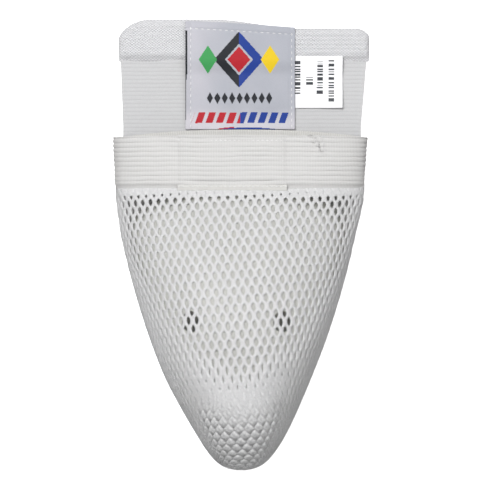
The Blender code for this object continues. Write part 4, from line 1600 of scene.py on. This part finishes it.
def paint(piece: bpy.types.Object, colour_at: Callable[[np.ndarray, np.ndarray], np.ndarray]) -> None:
    """Gives each face the colour of its own thread crossing.

    Args:
        piece: the cloth.
        colour_at: a function of places across and up, in millimetres, that gives linear RGBA.
    """
    data = piece.data
    centres = np.empty(len(data.polygons) * 3)
    data.polygons.foreach_get("center", centres)
    centres = centres.reshape(-1, 3) / MM
    colours = colour_at(centres[:, 0], centres[:, 1])
    counts = np.empty(len(data.polygons), dtype=int)
    data.polygons.foreach_get("loop_total", counts)
    layer = data.color_attributes.new(THREADS, "FLOAT_COLOR", "CORNER")
    layer.data.foreach_set("color", np.repeat(colours, counts, axis=0).ravel())


# -------------------------------------------------------------------------------------- leg straps


@dataclass
class LegStraps:
    """Two narrow ribbed straps, folded in three, and the tab that holds them at the tip."""

    width: float = 17.4
    thickness: float = 1.0
    layer: float = 1.6
    fold_length: float = 66.0
    anchor: tuple[float, float] = (12.0, -90.0)
    end: tuple[float, float] = (34.0, 40.0)

    def build(self) -> None:
        """Makes both straps and the tab."""
        centre_x = float(Dome.of_frame().centre_at(0.0))
        run = math.hypot(self.end[0] - self.anchor[0], self.end[1] - self.anchor[1])
        tilt = math.atan2(self.end[0] - self.anchor[0], self.end[1] - self.anchor[1])
        low = 0.65
        high, radius = low + 2 * self.layer, self.layer / 2

        route = [(-5.0, high), *fold_arc(self.fold_length, high - radius, radius, 90, -90)]
        route += [*fold_arc(5.0, low + radius, radius, 90, 270), (run, low)]
        path = even_path(route, 1.4, rounds=0)
        across = np.linspace(-self.width / 2, self.width / 2, 61)
        for side, body in ((-1, Body.STRAP_LEFT), (1, Body.STRAP_RIGHT)):
            a, w = np.meshgrid(path[:, 0], across)
            z = np.broadcast_to(path[:, 1], a.shape)
            turn = -side * tilt
            x = centre_x + side * self.anchor[0] + w * math.cos(turn) - a * math.sin(turn)
            y = self.anchor[1] + w * math.sin(turn) + a * math.cos(turn)
            rib = ribs(w + self.width / 2, self.width / 9, 0.16)
            grid = np.stack((x, y, z), axis=2)
            label = body.value.replace("leg_strap", "strap")
            strap = cloth(label, grid, self.thickness, BAND_ELASTIC.material(), rib, rib)
            ride(strap, body, "ribbed_elastic", body.value)
        self.build_tab()

    def build_tab(self) -> None:
        """Makes the tab over the straps' ends."""
        low, high = box_mm("strap_anchor_tab")
        x, y = np.meshgrid(np.linspace(low[0], high[0], 50), np.linspace(low[1], high[1], 24))
        z = np.full_like(x, float(low[2] + high[2]) / 2)
        tab = cloth("strap_tab", np.stack((x, y, z), axis=2), 0.6, TAPE.material())
        ride(tab, Body.POUCH, "hem_tape", "strap_anchor_tab")


# ------------------------------------------------------------------------------------------ studio


@dataclass
class Studio:
    """A white light table, soft light from the upper left and a long lens straight above."""

    aim: tuple[float, float, float] = (0.004, -0.003, 0.0)
    distance: float = 2.0
    view_width: float = 0.25
    sensor: float = 36.0
    sky_low: float = 0.12
    sky_high: float = 0.66

    def build(self) -> None:
        """Makes the table, the lights and the camera."""
        scene = bpy.context.scene
        scene.view_settings.view_transform = "Standard"
        self.table()
        self.light("key_softbox", (-0.4, 0.6, 1.45), 0.6, 24.5)
        self.light("fill_softbox", (0.9, 0.3, 1.2), 1.0, 5.5)
        world = bpy.data.worlds.new("studio")
        world.use_nodes = True
        sky = world.node_tree.nodes["Background"]
        sky.inputs["Color"].default_value = linear("#ffffff")
        way = add(world.node_tree, "ShaderNodeNewGeometry")
        parts = add(world.node_tree, "ShaderNodeSeparateXYZ", {"Vector": way.outputs["Position"]})
        up = add(world.node_tree, MATH, {0: parts.outputs["Z"]}, operation="ABSOLUTE")
        ends = {"Value": up, "To Min": self.sky_low, "To Max": self.sky_high}
        glow = add(world.node_tree, "ShaderNodeMapRange", ends)
        world.node_tree.links.new(glow.outputs["Result"], sky.inputs["Strength"])
        scene.world = world

        lens = bpy.data.cameras.new("long_lens")
        lens.sensor_width = self.sensor
        lens.lens = self.sensor * self.distance / self.view_width
        lens.clip_end = 50.0
        camera = placed("camera", lens)
        camera.location = (self.aim[0], self.aim[1], self.distance)
        scene.camera = camera

    def table(self) -> None:
        """Makes the light table's matt white top, whose own glow stays off the object."""
        half, z = 6.0, -0.0004
        data = bpy.data.meshes.new("floor")
        corners = ((-half, -half, z), (half, -half, z), (half, half, z), (-half, half, z))
        data.from_pydata(corners, [], [(0, 1, 2, 3)])
        _, shader = new_material("matt_white_table")
        shader.inputs["Base Color"].default_value = linear("#fafafa")
        shader.inputs["Roughness"].default_value = 0.9
        shader.inputs["Emission Color"].default_value = linear("#ffffff")
        shader.inputs["Emission Strength"].default_value = 0.7
        data.materials.append(bpy.data.materials["matt_white_table"])
        floor = placed("floor", data)
        floor.visible_diffuse = False

    def light(self, name: str, place: tuple[float, float, float], size: float, power: float) -> None:
        """Adds a soft light that faces the object.

        Args:
            name: the light's name.
            place: where it stands, in metres.
            size: its width, in metres.
            power: its power, in watts.
        """
        lamp = bpy.data.lights.new(name, "AREA")
        lamp.size, lamp.energy = size, power
        made = placed(name, lamp)
        made.location = place
        towards = Vector(self.aim) - Vector(place)
        made.rotation_euler = towards.to_track_quat("-Z", "Y").to_euler()


def main() -> None:
    """Builds every sub-assembly round the frame."""
    logging.basicConfig(level=logging.INFO, format="%(message)s")
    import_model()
    Studio().build()
    dome = Dome.of_frame()
    NetFront(dome).build()
    Cup(dome).build()
    PouchBack(dome).build()
    FrontBand().build()
    WaistBelt().build()
    Label().build()
    SizeTag().build()
    LegStraps().build()


if __name__ == "__main__":
    main()
